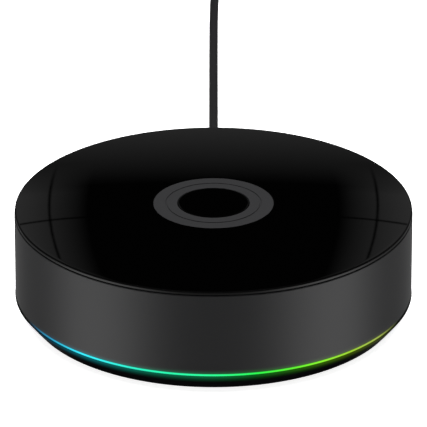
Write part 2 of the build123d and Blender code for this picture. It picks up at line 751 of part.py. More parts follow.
def reset_switch():
    """Right-angle switch on the board behind the reset button."""
    nub_r, nub_in = RESET_NUB
    y_low, y_high = RESET_SWITCH_Y
    width, height = RESET_SWITCH
    sides = (RESET_X - width / 2, RESET_X + width / 2)
    body = block(sides, (y_low, y_high), (BOARD_TOP, BOARD_TOP + height))
    well = (y_high - nub_in - RESET_TRAVEL - TRAVEL_GAP, y_high + CUT)
    return body - along_y(nub_r + PLUNGER_GAP, *well, (RESET_X, RESET_Z))


def reset_plunger():
    """The reset switch's plunger, touching the back of the button."""
    nub_r, nub_in = RESET_NUB
    return along_y(nub_r, RESET_SWITCH_Y[1] - nub_in, RESET_BACK, (RESET_X, RESET_Z))


# ---- free cord and its plugs -----------------------------------------------------------------------
def plug_shell():
    """Metal nose of the power plug, seated in the inlet."""
    width, height, depth = PLUG_SHELL
    y_low = PLUG_Y - depth
    nose = pill_along_y(width, height, y_low, PLUG_Y, (0, INLET_Z))
    inside = (width - 2 * NOSE_T, height - 2 * NOSE_T)
    return nose - pill_along_y(*inside, y_low - CUT, PLUG_Y - NOSE_FLOOR, (0, INLET_Z))


def power_plug():
    """Moulded grip of the power plug."""
    width, height, depth = PLUG
    grip = pill_along_y(width, height, PLUG_Y, PLUG_Y + depth, (0, INLET_Z))
    return chamfer(grip.faces().sort_by(Axis.Y)[-1].edges(), PLUG_CHAMFER)


def ribbed_relief(length):
    """Tapered strain relief along +Y from the origin, with flexing grooves."""
    wide, narrow = RELIEF_R
    pitch = length / RELIEF_RIBS
    points = [(0, 0)]
    for index in range(RELIEF_RIBS):
        rib = wide + (narrow - wide) * index / (RELIEF_RIBS - 1)
        start = index * pitch
        end = start + RIB_SHARE * pitch
        points += [(rib, start), (rib - RIB_DRAFT, end)]
        neck = max(rib - RIB_DEEP, CORD_R + SCREW_GAP)
        if index < RELIEF_RIBS - 1:
            points += [(neck, end), (neck, start + pitch)]
    points += [(narrow - RIB_DRAFT, length), (0, length)]
    return revolve(make_face(Polyline(*points, close=True)), Axis.Y)


def strain_relief():
    """Strain relief behind the power plug."""
    return Pos(0, PLUG_Y + PLUG[2], INLET_Z) * ribbed_relief(RELIEF_L)


def arc_radii(route):
    """The largest tangent arc that fits each corner of a route."""
    points = [Vector(*point) for point in route]
    radii = []
    for before, corner, after in zip(points, points[1:], points[2:]):
        into = corner - before
        out = after - corner
        turn = radians(into.get_angle(out))
        radii.append(ARC_SHARE * min(into.length, out.length) / tan(turn / 2))
    return radii


def cord_along(route):
    """A round cord along a route."""
    return bent_wire(route, CORD_R, arc_radii(route))


def cord_coil():
    """Outer shape of the tied coil of spare cord."""
    body = hoop(COIL_R - COIL_HALF, COIL_R + COIL_HALF, COIL_LOW, COIL_HIGH, COIL_CENTRE)
    return fillet(body.edges().filter_by(GeomType.CIRCLE), COIL_EDGE)


def cord_tie():
    """Strap around the coil's turns on the side away from the cord."""
    x, y = COIL_CENTRE
    inner, outer = x - COIL_R - COIL_HALF, x - COIL_R + COIL_HALF
    width = (y - TIE_W / 2, y + TIE_W / 2)
    strap = block((inner - TIE_T, outer + TIE_T), width, (COIL_LOW - TIE_T, COIL_HIGH + TIE_T))
    hollow = (width[0] - CUT, width[1] + CUT)
    return strap - block((inner, outer), hollow, (COIL_LOW, COIL_HIGH))


def usb_relief():
    """Strain relief behind the far plug."""
    x, y, z = TAIL_ROUTE[-1]
    return Pos(x - USB_RELIEF_L, y, z) * Rot(0, 0, -90) * ribbed_relief(USB_RELIEF_L)


def usb_body():
    """Moulded grip of the far plug, lying on the surface."""
    length, width, height = USB_BODY
    x = TAIL_ROUTE[-1][0] - USB_RELIEF_L - length / 2
    grip = standing(USB_BODY, (x, TAIL_Y), USB_Z - height / 2)
    grip = fillet(grip.edges().filter_by(Axis.X), USB_ROUND)
    return chamfer(grip.faces().filter_by(Axis.X).edges(), USB_CHAMFER)


def usb_nose_x():
    """Where the far plug's metal nose leaves its grip."""
    return TAIL_ROUTE[-1][0] - USB_RELIEF_L - USB_BODY[0]


def usb_shell():
    """Rectangular metal nose of the far plug."""
    length, width, height = USB_SHELL
    x = usb_nose_x() - length / 2
    nose = standing(USB_SHELL, (x, TAIL_Y), USB_Z - height / 2)
    hollow = (length, width - 2 * SHEET_T, height - 2 * SHEET_T)
    return nose - standing(hollow, (x - SHEET_T, TAIL_Y), USB_Z - hollow[2] / 2)


def usb_tongue():
    """Insulating tongue inside the far plug's nose."""
    length, width, height = USB_TONGUE
    x = usb_nose_x() - SHEET_T - length / 2
    return standing(USB_TONGUE, (x, TAIL_Y), USB_Z - USB_SHELL[2] / 2 + SHEET_T)


# ---- fasteners --------------------------------------------------------------------------------------
def case_screws():
    """Four screws from below through the base into the sleeve."""
    spots = [polar(BOSS_R, angle) for angle in BOSS_ANGLES]
    return group(screw(CASE_SCREW, CASE_SCREW_L, at, CASE_SEAT, False) for at in spots)


def board_screws():
    """Four screws that hold the main board on the base's standoffs."""
    return group(screw(BOARD_SCREW, BOARD_SCREW_L, at, BOARD_TOP, True) for at in STANDOFFS)


def sink_screws():
    """Four screws from below the board into the heatsink's legs."""
    return group(screw(SMALL_SCREW, SMALL_SCREW_L, at, BOARD_Z, False) for at in sink_legs())


def button_board_screws():
    """Three screws that hold the button board under the cover."""
    spots = [polar(BUTTON_BOSS_R, angle) for angle in BUTTON_BOSS_ANGLES]
    return group(screw(SMALL_SCREW, SMALL_SCREW_L, at, BUTTON_BOARD_Z, False) for at in spots)


# ---- chips, as boxes on the board ---------------------------------------------------------------------
def capacitors():
    """Four upright can capacitors beside the heatsink."""
    radius, height = CAPACITOR
    return group(rod(radius, BOARD_TOP, BOARD_TOP + height, at) for at in CAPACITORS_AT)


def ram_chips():
    """Two memory chips under the shield, either side of the processor."""
    return group(standing(RAM, (side * RAM_X, CHIP_Y), BOARD_TOP) for side in (-1, 1))


def inductors():
    """Three power inductors."""
    return group(standing(INDUCTOR, at, BOARD_TOP) for at in INDUCTORS_AT)


NODES = {
    "outer_sleeve": outer_sleeve,
    "top_cover": top_cover,
    "button_ring": button_ring,
    "button_cap": button_cap,
    "switch_plunger": switch_plunger,
    "tact_switch": tact_switch,
    "button_board": button_board,
    "button_board_screws": button_board_screws,
    "button_cable": button_cable,
    "light_ring": light_ring,
    "led_board": led_board,
    "leds": leds,
    "led_cable": led_cable,
    "base_tray": base_tray,
    "foot_ring": foot_ring,
    "case_screws": case_screws,
    "main_board": main_board,
    "board_screws": board_screws,
    "board_connectors": connectors,
    "soc_chip": lambda: standing((SOC[0], SOC[0], SOC[1]), (0, CHIP_Y), BOARD_TOP),
    "ram_chips": ram_chips,
    "soc_shield": soc_shield,
    "thermal_pad": lambda: standing((PAD[0], PAD[0], PAD[1]), (0, CHIP_Y), BOARD_TOP + SOC[1]),
    "heatsink": heatsink,
    "heatsink_screws": sink_screws,
    "flash_chip": lambda: standing(FLASH, FLASH_AT, BOARD_TOP),
    "power_chip": lambda: standing(POWER_CHIP, POWER_CHIP_AT, BOARD_TOP),
    "inductors": inductors,
    "capacitors": capacitors,
    "network_magnetics": lambda: standing(MAGNETICS, MAGNETICS_AT, BOARD_TOP),
    "radio_module": lambda: standing(RADIO, RADIO_AT, BOARD_TOP),
    "antennas": antennas,
    "antenna_cables": antenna_cables,
    "port_panel": port_panel,
    "video_socket": video_socket,
    "video_tongue": video_tongue,
    "power_socket": power_socket,
    "power_tongue": power_tongue,
    "network_socket": network_socket,
    "network_contacts": network_contacts,
    "reset_button": reset_button,
    "reset_plunger": reset_plunger,
    "reset_switch": reset_switch,
    "plug_shell": plug_shell,
    "power_plug": power_plug,
    "strain_relief": strain_relief,
    "power_cord": lambda: cord_along(CORD_ROUTE),
    "cord_coil": cord_coil,
    "cord_tie": cord_tie,
    "cord_tail": lambda: cord_along(TAIL_ROUTE),
    "usb_relief": usb_relief,
    "usb_body": usb_body,
    "usb_shell": usb_shell,
    "usb_tongue": usb_tongue,
}


def cord_report(name, route, solid):
    """Prints a cord's arcs, and its volume against section times length."""
    path = FilletPolyline(*route, radius=arc_radii(route))
    radii = [round(radius, 1) for radius in arc_radii(route)]
    print(f"{name}: arcs {radii}, length {path.length:.1f}")
    print(f"  volume {solid.volume:.1f} against {pi * CORD_R**2 * path.length:.1f}")


os.makedirs("parts", exist_ok=True)
made = {name: build() for name, build in NODES.items()}
for name, solid in made.items():
    export_step(solid, f"parts/{name}.step")
cord_report("power_cord", CORD_ROUTE, made["power_cord"])
cord_report("cord_tail", TAIL_ROUTE, made["cord_tail"])
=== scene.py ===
# %% [markdown]
# # Streaming media player, dressed in Blender
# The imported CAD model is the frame: every piece below takes its place from it and rides on one of
# its bodies. The shells that show are worked out again here as fine surfaces, because a glossy
# crowned cover needs far smoother normals than a CAD mesh carries. Most of what is inside keeps
# its CAD shape and only gets a finish.

# %% Load the frame
import json
import math

import bmesh
import bpy
import numpy as np
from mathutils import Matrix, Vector


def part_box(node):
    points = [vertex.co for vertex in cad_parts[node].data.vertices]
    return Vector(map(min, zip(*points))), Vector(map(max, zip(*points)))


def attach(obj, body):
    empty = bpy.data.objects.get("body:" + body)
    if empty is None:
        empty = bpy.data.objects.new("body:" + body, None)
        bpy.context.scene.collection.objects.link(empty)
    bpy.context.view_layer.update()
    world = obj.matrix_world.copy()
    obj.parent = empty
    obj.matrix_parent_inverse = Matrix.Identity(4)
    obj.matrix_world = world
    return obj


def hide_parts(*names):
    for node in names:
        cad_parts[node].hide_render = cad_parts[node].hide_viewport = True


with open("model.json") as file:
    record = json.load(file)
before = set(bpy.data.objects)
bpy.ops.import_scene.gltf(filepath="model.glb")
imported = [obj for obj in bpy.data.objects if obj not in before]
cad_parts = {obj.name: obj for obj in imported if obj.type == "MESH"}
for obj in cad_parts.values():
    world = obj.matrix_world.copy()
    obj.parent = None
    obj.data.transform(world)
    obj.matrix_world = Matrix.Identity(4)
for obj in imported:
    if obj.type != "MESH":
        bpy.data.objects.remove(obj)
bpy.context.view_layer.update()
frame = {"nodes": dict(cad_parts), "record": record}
NODES = frame["nodes"]
SLOT_OF = {part["node"]: part["material_slot"] for part in frame["record"]["subparts"]}

MM = 0.001


def span(node, axis):
    """A node's lowest and highest value along an axis, in metres."""
    low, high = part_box(node)
    return float(low[axis]), float(high[axis])


# %% Measures that several pieces share, read from the frame
BODY_R = span("outer_sleeve", 0)[1]
SLEEVE_Z, SLEEVE_TOP = span("outer_sleeve", 2)
SLIT_WIDTH = 0.6 * MM
SLIT_Z = SLEEVE_Z - SLIT_WIDTH
DOME_RISE = 1.5 * MM
APEX_Z = span("button_cap", 2)[1]
RIM_Z = APEX_Z - DOME_RISE
DOME_R = (BODY_R**2 + DOME_RISE**2) / (2 * DOME_RISE)
print("body radius", BODY_R, "rim", round(RIM_Z, 5), "apex", round(APEX_Z, 5))

# %% [markdown]
# ## Camera
# A product shot with a very long lens, a metre and a half away and looking down about a quarter
# of a right angle, so that the round rims become nearly true ellipses.

# %% Camera
CAMERA_BACK = 1.5053
CAMERA_UP = 0.6886
CAMERA_DOWN = math.radians(24.65)
LENS_MM = 463.4

lens = bpy.data.cameras.new("product_lens")
lens.lens = LENS_MM
lens.sensor_width = 36.0
lens.clip_end = 50.0
camera = bpy.data.objects.new("camera", lens)
camera.location = (0.0, -CAMERA_BACK, RIM_Z + CAMERA_UP)
camera.rotation_euler = (math.pi / 2 - CAMERA_DOWN, 0.0, 0.0)
bpy.context.scene.collection.objects.link(camera)
bpy.context.scene.camera = camera
bpy.context.scene.view_settings.view_transform = "Standard"
print("camera at", tuple(round(value, 4) for value in camera.location))

# %% [markdown]
# ## The power cord
# A round cord of one length of 1.45 m. It drops from the plug's strain relief to the surface,
# runs straight back, and what is left over is wound into a tied coil behind the object. One
# open NURBS spline carries it all: the few points of the route, then sixteen points for each
# turn of the coil from a formula, then the tail to the far plug.

# %% Cord route
CORD_D = 2.9 * MM
CORD_ROUTE = (
    (0.0, 78.0, 12.63),
    (0.0, 88.5, 12.63),
    (0.7, 103.5, 7.2),
    (0.0, 127.0, 1.45),
    (0.0, 140.0, 1.45),
    (0.0, 252.0, 1.45),
    (2.2, 264.5, 1.8),
)
TAIL_ROUTE = (
    (-18.0, 288.0, 10.6),
    (-28.0, 288.4, 9.6),
    (-38.0, 287.2, 5.6),
    (-47.0, 286.6, 3.9),
    (-54.0, 286.6, 3.9),
)
COIL_CENTRE = (-16.2, 269.1)
COIL_RADII = (18.9, 16.0, 13.1)
COIL_LAYERS = 4
COIL_LOW = 2.05
POINTS_PER_TURN = 16
COIL_START = 8.0
COIL_END = 78.0
EASE_FROM = 0.67
COIL_SWELL = 0.8
CORD_SIDES = 5


def coil_points():
    """Turn k of the coil lies at its own radius and height; over its last third a point eases to
    the next turn's. Layers are wound inwards and outwards in turn, a cord's diameter apart. A
    spline runs inside its control points, so their radius is swollen a little."""
    rows = [COIL_RADII if layer % 2 == 0 else COIL_RADII[::-1] for layer in range(COIL_LAYERS)]
    radii = np.concatenate(rows)
    heights = COIL_LOW + CORD_D / MM * np.repeat(np.arange(COIL_LAYERS), len(COIL_RADII))
    turns = len(radii)
    sweep = 360.0 * turns + COIL_END - COIL_START
    angle = np.radians(COIL_START + np.arange(0.0, sweep + 1e-6, 360.0 / POINTS_PER_TURN))
    place = np.linspace(0.0, turns - 1e-6, len(angle))
    turn = place.astype(int)
    following = np.minimum(turn + 1, turns - 1)
    ease = np.clip((place - turn - EASE_FROM) / (1 - EASE_FROM), 0.0, 1.0)
    ease = ease * ease * (3 - 2 * ease)
    radius = radii[turn] + ease * (radii[following] - radii[turn])
    height = heights[turn] + ease * (heights[following] - heights[turn])
    radius = radius / np.cos(math.pi / POINTS_PER_TURN) ** COIL_SWELL
    x = COIL_CENTRE[0] + radius * np.cos(angle)
    y = COIL_CENTRE[1] + radius * np.sin(angle)
    return np.column_stack([x, y, height])


def add_cord(name, points_mm, diameter):
    """An open NURBS spline through the control points, thickened to a round cord."""
    curve = bpy.data.curves.new(name, "CURVE")
    curve.dimensions = "3D"
    spline = curve.splines.new("NURBS")
    spline.points.add(len(points_mm) - 1)
    weights = np.ones((len(points_mm), 1))
    spline.points.foreach_set("co", np.hstack([points_mm * MM, weights]).ravel())
    spline.points.foreach_set("radius", np.full(len(points_mm), diameter / 2))
    spline.order_u = 3
    spline.use_endpoint_u = True
    spline.resolution_u = 4
    curve.bevel_depth = 1.0
    curve.bevel_resolution = CORD_SIDES
    curve.use_fill_caps = True
    cord = bpy.data.objects.new(name, curve)
    bpy.context.scene.collection.objects.link(cord)
    return cord


route = np.vstack([CORD_ROUTE, coil_points(), TAIL_ROUTE])
power_lead = add_cord("power_lead", route, CORD_D)
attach(power_lead, "chassis")
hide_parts("power_cord", "cord_coil", "cord_tail")
print("cord control points", len(route))

# %% [markdown]
# ## Finishes as short formulas
# A finish is a Principled shader whose colour, roughness and bump come from a few noises on
# Object coordinates. To keep that readable, a socket is wrapped in a small class: arithmetic on
# it adds Math nodes, so a mask can be written the way one would say it.

# %% Socket maths
def from_screen(red, green, blue):
    """A screen colour from 0 to 255 as the linear colour that shaders take."""
    values = np.array([red, green, blue]) / 255.0
    linear = np.where(values <= 0.04045, values / 12.92, ((values + 0.055) / 1.055) ** 2.4)
    return (*map(float, linear), 1.0)


BLACK = (0.0, 0.0, 0.0, 1.0)


class Signal:
    """A node's output, with arithmetic that adds Math nodes to its finish."""

    def __init__(self, finish, socket):
        self.finish = finish
        self.socket = socket

    def maths(self, operation, *others):
        inputs = dict(enumerate((self, *others)))
        return self.finish.node("ShaderNodeMath", {"operation": operation}, inputs)

    def __add__(self, other):
        return self.maths("ADD", other)

    def __sub__(self, other):
        return self.maths("SUBTRACT", other)

    def __rsub__(self, other):
        return self.finish.node("ShaderNodeMath", {"operation": "SUBTRACT"}, {0: other, 1: self})

    def __mul__(self, other):
        return self.maths("MULTIPLY", other)

    def __truediv__(self, other):
        return self.maths("DIVIDE", other)

    def __pow__(self, other):
        return self.maths("POWER", other)

    def __abs__(self):
        return self.maths("ABSOLUTE")

    __radd__ = __add__
    __rmul__ = __mul__

    def wave(self, pitch):
        """A sine wave of the given pitch along the value."""
        return (self * (2 * math.pi / pitch)).maths("SINE")

    def clamped(self):
        """The value held between 0 and 1."""
        return self.finish.node("ShaderNodeClamp", {}, {0: self})

    def above(self, edge, width):
        """0 below edge and 1 above it, with a ramp of the given width."""
        return ((self - (edge - width / 2)) / width).clamped()

    def between(self, edges, widths):
        """1 between two edges and 0 outside them, with a ramp of its own width at each."""
        return self.above(edges[0], widths[0]) * (1.0 - self.above(edges[1], widths[1]))


class Finish:
    """A material with one Principled shader, built by short calls."""

    def __init__(self, name):
        self.material = bpy.data.materials.new(name)
        self.material.use_nodes = True
        self.tree = self.material.node_tree
        self.shader = self.tree.nodes["Principled BSDF"]
        self.place = self.node("ShaderNodeTexCoord", {}, {}, "Object")

    def node(self, kind, settings, inputs, output=0):
        """Adds a node: its settings first, then the values or links of its inputs."""
        made = self.tree.nodes.new(kind)
        for key, value in settings.items():
            if key == "stops":
                self.set_stops(made.color_ramp, value)
            else:
                setattr(made, key, value)
        for key, value in inputs.items():
            self.feed(made.inputs[key], value)
        return Signal(self, made.outputs[output])

    def feed(self, socket, value):
        """Links a signal to a socket, or sets the socket's own value."""
        if isinstance(value, Signal):
            self.tree.links.new(value.socket, socket)
        else:
            socket.default_value = value

    @staticmethod
    def set_stops(ramp, stops):
        """Gives a colour ramp its stops, as (position, colour) pairs in order."""
        while len(ramp.elements) < len(stops):
            ramp.elements.new(1.0)
        for element, (position, colour) in zip(ramp.elements, stops):
            element.position = position
            element.color = colour

    def surface(self, **sockets):
        """Feeds the shader's sockets, named with underscores for spaces."""
        for key, value in sockets.items():
            self.feed(self.shader.inputs[key.replace("_", " ")], value)
        return self

    def axes(self):
        """The X, Y and Z of the point being shaded."""
        parts = self.tree.nodes.new("ShaderNodeSeparateXYZ")
        self.feed(parts.inputs[0], self.place)
        return [Signal(self, socket) for socket in parts.outputs]

    def radius(self):
        """How far the point being shaded is from the object's upright axis."""
        x, y, _ = self.axes()
        return (x * x + y * y) ** 0.5

    def noise(self, size, detail=3.0, roughness=0.55, vector=None):
        """Soft noise from 0 to 1 whose features measure about size metres."""
        inputs = {"Vector": vector or self.place, "Scale": 1.0 / size, "Detail": detail}
        inputs["Roughness"] = roughness
        return self.node("ShaderNodeTexNoise", {}, inputs)

    def stretched(self, scale):
        """Object coordinates stretched by a scale along each axis."""
        return self.node("ShaderNodeMapping", {}, {"Vector": self.place, "Scale": scale})

    def mix(self, mask, first, second):
        """The first colour where the mask is 0 and the second where it is 1."""
        settings = {"data_type": "RGBA"}
        inputs = {"Factor": mask, 6: first, 7: second}
        return self.node("ShaderNodeMix", settings, inputs, 2)

    def bump(self, height, depth, strength=1.0):
        """A normal from a height map of the given depth in metres."""
        inputs = {"Height": height, "Distance": depth, "Strength": strength}
        return self.node("ShaderNodeBump", {}, inputs)


def shade(colour, factor):
    """A colour made lighter or darker."""
    return (*[min(1.0, channel * factor) for channel in colour[:3]], 1.0)


print("shader helpers ready")

# %% [markdown]
# ## Moulded plastics
# Injection-moulded plastic isn't flat: the tool is spark-eroded to a fine grain, the gloss
# drifts a little where the melt cooled, and handling leaves faint marks. One recipe holds these
# three, and each plastic on the object gives its own colour, gloss and grain size.

# %% Moulded finish
DRIFT_SIZE = 20 * MM
MARK_SIZE = 4 * MM
GLOSS_DRIFT = 0.06


def moulded(name, colour, roughness, grain, depth):
    """Plastic with an eroded grain, a slow drift of gloss and faint handling marks."""
    finish = Finish(name)
    slow = finish.noise(DRIFT_SIZE, 2.0)
    marks = finish.noise(MARK_SIZE, 5.0, 0.7).above(0.62, 0.2)
    fine = finish.noise(grain, 2.0, 0.6)
    tone = (slow * 0.6 + fine * 0.4).clamped()
    paint = finish.mix(tone, shade(colour, 0.86), shade(colour, 1.14))
    gloss = (slow - 0.5) * GLOSS_DRIFT + marks * (GLOSS_DRIFT / 2) + roughness
    finish.surface(Base_Color=paint, Roughness=gloss, Normal=finish.bump(fine, depth, 0.5))
    return finish.surface(Specular_IOR_Level=0.5)


# Each plastic's colour and roughness, then its grain's size and depth in millimetres.
PLASTICS = {
    "base_black": (from_screen(14, 14, 15), 0.38, 0.35, 0.01),
    "foot_rubber": (from_screen(34, 34, 35), 0.82, 0.6, 0.03),
    "switch_plastic": (from_screen(48, 48, 50), 0.5, 0.3, 0.01),
    "connector_plastic": (from_screen(30, 30, 33), 0.45, 0.25, 0.01),
    "plug_plastic": (from_screen(33, 33, 34), 0.42, 0.3, 0.012),
    "chip_black": (from_screen(38, 38, 41), 0.55, 0.2, 0.01),
    "thermal_pad": (from_screen(150, 164, 190), 0.7, 0.5, 0.04),
    "coax_black": (from_screen(26, 26, 27), 0.4, 0.3, 0.01),
}
FINISHES = {}
for plastic, (colour, roughness, grain, depth) in PLASTICS.items():
    FINISHES[plastic] = moulded(plastic, colour, roughness, grain * MM, depth * MM)
print("moulded finishes", sorted(FINISHES))

# %% [markdown]
# ## Glow of the slit
# The lamps under the light guide are set to a fixed gradient: blue at the left, through cyan and
# green in front, to yellow-green and olive at the right. The colour depends only on how far left
# or right a point is, so the guide, the wall above it and the base below it all share the same
# ramp. On the wall and base beside the slit the slit's light is painted on as a faint emission
# that falls off away from the slit. There is no lamp at the two far sides, so the light fades out
# there.

# %% Glow colours
GLOW_STOPS = (
    (-1.0, (20, 40, 70)),
    (-0.93, (40, 96, 140)),
    (-0.80, (24, 150, 190)),
    (-0.65, (38, 236, 255)),
    (-0.32, (28, 240, 182)),
    (0.0, (36, 252, 146)),
    (0.22, (30, 240, 66)),
    (0.41, (92, 234, 24)),
    (0.53, (132, 240, 20)),
    (0.68, (152, 202, 26)),
    (0.80, (158, 180, 70)),
    (0.90, (120, 130, 60)),
    (1.0, (60, 64, 34)),
)
UNLIT_FROM = 0.876
UNLIT_FADE = 0.09
# Painted light: how steeply the slit's light painted on the wall and base falls off.
PAINTED_LIGHT_FALL = 2.2


def glow_colour(finish, along):
    """The lamps' colour at a place from -R at the left to R at the right, dark at the far sides."""
    stops = [((place + 1) / 2, from_screen(*colour)) for place, colour in GLOW_STOPS]
    place = along / (2 * BODY_R) + 0.5
    colour = finish.node("ShaderNodeValToRGB", {"stops": stops}, {0: place})
    unlit = (abs(along) / BODY_R).above(UNLIT_FROM, UNLIT_FADE)
    return finish.mix(unlit, colour, BLACK)


def painted_slit_light(height, reach):
    """Painted light of the slit on the wall or base: 1 at the slit, falling off with a given reach.
    """
    return (1.0 - abs(height - (SLIT_Z + SLEEVE_Z) / 2) / reach).clamped() ** PAINTED_LIGHT_FALL


# %% [markdown]
# ## Matte sleeve
# The wall is a dark grey plastic with a fine eroded grain that spreads highlights into soft
# upright bands. Only the grain, a slow drift of gloss and the slit's light, painted on as emission
# just above the slit, vary.

# %% Sleeve finish
WALL_DARK = from_screen(18, 18, 19)
WALL_LIGHT = from_screen(23, 23, 24)
WALL_ROUGHNESS = 0.42
WALL_SPECULAR = 0.5
WALL_GRAIN = 0.28 * MM
WALL_GRAIN_DEEP = 0.012 * MM
# Painted light: the slit's light painted on the wall as emission, its reach above the slit and its
# strength.
PAINTED_LIGHT_UP = 2.0 * MM
PAINTED_LIGHT_STRENGTH = 0.22


def sleeve_finish():
    """Dark satin plastic with an eroded grain, with the slit's light painted on as emission just
    above the slit.
    """
    finish = Finish("matte_sleeve")
    x, _, z = finish.axes()
    slow = finish.noise(0.03, 2.0)
    grain = finish.noise(WALL_GRAIN, 2.0, 0.6)
    paint = finish.mix((grain * 0.6 + slow * 0.4).clamped(), WALL_DARK, WALL_LIGHT)
    rough = (slow - 0.5) * 0.05 + (grain - 0.5) * 0.06 + WALL_ROUGHNESS
    # Painted light: the slit's glow painted on the wall as emission, fading upwards from the slit.
    painted_glow = finish.mix(painted_slit_light(z, PAINTED_LIGHT_UP), BLACK, glow_colour(finish, x))
    normal = finish.bump(grain, WALL_GRAIN_DEEP, 0.35)
    finish.surface(Base_Color=paint, Roughness=rough, Normal=normal)
    finish.surface(Emission_Color=painted_glow, Emission_Strength=PAINTED_LIGHT_STRENGTH)
    return finish.surface(Specular_IOR_Level=WALL_SPECULAR)


FINISHES["matte_shell"] = sleeve_finish()

# %% [markdown]
# ## Gloss cover
# The cover is polished plastic, black all through, so nearly everything seen on it is a
# reflection. It keeps a very faint orange peel, some dust and hairline swirls from wiping, which
# break a perfect mirror a little. Its turned rim isn't polished, so the rim is satin.

# %% Gloss finish
RIM_WIDTH = 0.5 * MM
RIM_ROUGHNESS = 0.38
GLOSS_ROUGHNESS = 0.012
PEEL_SIZE = 2.5 * MM
PEEL_DEEP = 0.0006 * MM
WIPED = (1.0, 0.08, 1.0)


def gloss_finish(name):
    """Polished black with orange peel, wiping swirls and dust, and a satin rim."""
    finish = Finish(name)
    peel = finish.noise(PEEL_SIZE, 2.0, 0.4)
    swirl = finish.noise(0.5 * MM, 4.0, 0.7, finish.stretched(WIPED)).above(0.66, 0.1)
    rim = finish.radius().above(BODY_R - RIM_WIDTH, 0.2 * MM)
    dust = finish.noise(0.25 * MM, 2.0, 0.8).above(0.79, 0.04)
    paint = finish.mix(dust * 0.5, from_screen(1, 1, 1), from_screen(22, 22, 22))
    rough = swirl * 0.02 + dust * 0.2 + rim * RIM_ROUGHNESS + GLOSS_ROUGHNESS
    finish.surface(Base_Color=paint, Roughness=rough, Specular_IOR_Level=0.5)
    return finish.surface(Normal=finish.bump(peel, PEEL_DEEP, 0.4))


FINISHES["gloss_cover"] = gloss_finish("piano_gloss")

# %% [markdown]
# ## Ring, base and light guide
# The ring is a satin plastic with fine turning lines around its axis; it reads as a mid grey
# between two blacks. The base is black satin, with the slit's light painted on it as emission just
# under the slit. The guide is milky plastic that the lamps light from inside.

# %% Ring finish
RING_DARK = from_screen(38, 38, 39)
RING_LIGHT = from_screen(43, 43, 44)
RING_ROUGHNESS = 0.46
TURNING_PITCH = 0.35 * MM


def ring_finish():
    """Satin grey with fine turning lines: a sine wave of the distance from the axis."""
    finish = Finish("satin_ring")
    lines = finish.radius().wave(TURNING_PITCH)
    grain = finish.noise(0.2 * MM, 2.0, 0.6)
    slow = finish.noise(8 * MM, 2.0)
    paint = finish.mix((grain * 0.5 + slow * 0.5).clamped(), RING_DARK, RING_LIGHT)
    height = lines * 0.25 + grain
    finish.surface(Base_Color=paint, Roughness=(grain - 0.5) * 0.08 + RING_ROUGHNESS)
    return finish.surface(Normal=finish.bump(height, 0.01 * MM, 0.25), Specular_IOR_Level=0.3)


FINISHES["ring_matte"] = ring_finish()


# %% Base and guide finishes
BASE_DARK = from_screen(4, 4, 5)
BASE_LIGHT = from_screen(7, 7, 8)
# Painted light: the slit's light painted on the base as emission, its reach below the slit and its
# strength.
PAINTED_LIGHT_DOWN = 3.4 * MM
BASE_PAINTED_LIGHT = 0.16
GUIDE_STRENGTH = 1.15
GUIDE_LIP = 1.2 * MM


def base_finish():
    """Black satin with a fine grain, with the slit's light painted on as emission just under the
    slit.
    """
    finish = Finish("base_painted_light")
    x, _, z = finish.axes()
    grain = finish.noise(0.3 * MM, 2.0, 0.6)
    slow = finish.noise(0.02, 2.0)
    paint = finish.mix((grain * 0.5 + slow * 0.5).clamped(), BASE_DARK, BASE_LIGHT)
    # Painted light: the slit's glow painted on the base as emission, fading downwards from the
    # slit.
    painted_glow = finish.mix(painted_slit_light(z, PAINTED_LIGHT_DOWN), BLACK, glow_colour(finish, x))
    finish.surface(Base_Color=paint, Roughness=(slow - 0.5) * 0.08 + 0.4)
    finish.surface(Normal=finish.bump(grain, 0.01 * MM, 0.3), Specular_IOR_Level=0.04)
    return finish.surface(Emission_Color=painted_glow, Emission_Strength=BASE_PAINTED_LIGHT)


def guide_finish():
    """Milky plastic that glows only on its lip, outside a certain radius."""
    finish = Finish("glowing_guide")
    x, _, _ = finish.axes()
    milk = finish.noise(1.2 * MM, 3.0)
    lip = finish.radius().above(BODY_R - GUIDE_LIP, GUIDE_LIP / 2)
    lit = finish.mix(lip * (1.0 - milk * 0.16), BLACK, glow_colour(finish, x))
    paint = finish.mix(milk, from_screen(20, 24, 23), from_screen(34, 38, 37))
    finish.surface(Base_Color=paint, Roughness=milk * 0.1 + 0.3, Emission_Color=lit)
    return finish.surface(Emission_Strength=GUIDE_STRENGTH, Specular_IOR_Level=0.1)


FINISHES["base_shell"] = base_finish()
FINISHES["light_guide"] = guide_finish()
print("shell finishes ready")

# %% [markdown]
# ## Metals, boards and cables
# Inside there are tinned cans, a cast heatsink, nickel sockets, zinc screws, gold contacts and
# green boards with copper tracks. They share two recipes: a worked metal with fine lines along
# one direction, and a board with a grid of tracks and pads under solder mask.

# %% Worked metal
METAL_GRAIN_DEEP = 0.01 * MM


def worked_metal(name, colour, roughness, line, stretch, tarnish):
    """Metal with lines drawn along one axis, a cast or tinned mottle and slight tarnish."""
    finish = Finish(name)
    drawn = finish.noise(line, 4.0, 0.7, finish.stretched(stretch))
    mottle = finish.noise(line * 6, 3.0)
    stain = finish.noise(line * 20, 4.0, 0.65).above(0.58, 0.25)
    paint = finish.mix(stain * tarnish, colour, shade(colour, 0.62))
    rough = (drawn - 0.5) * 0.14 + mottle * 0.08 + roughness
    height = drawn * 0.6 + mottle * 0.4
    finish.surface(Base_Color=paint, Roughness=rough, Metallic=1.0)
    return finish.surface(Normal=finish.bump(height, METAL_GRAIN_DEEP, 0.4))


EVEN = (1.0, 1.0, 1.0)
DRAWN_Y = (1.0, 0.06, 1.0)
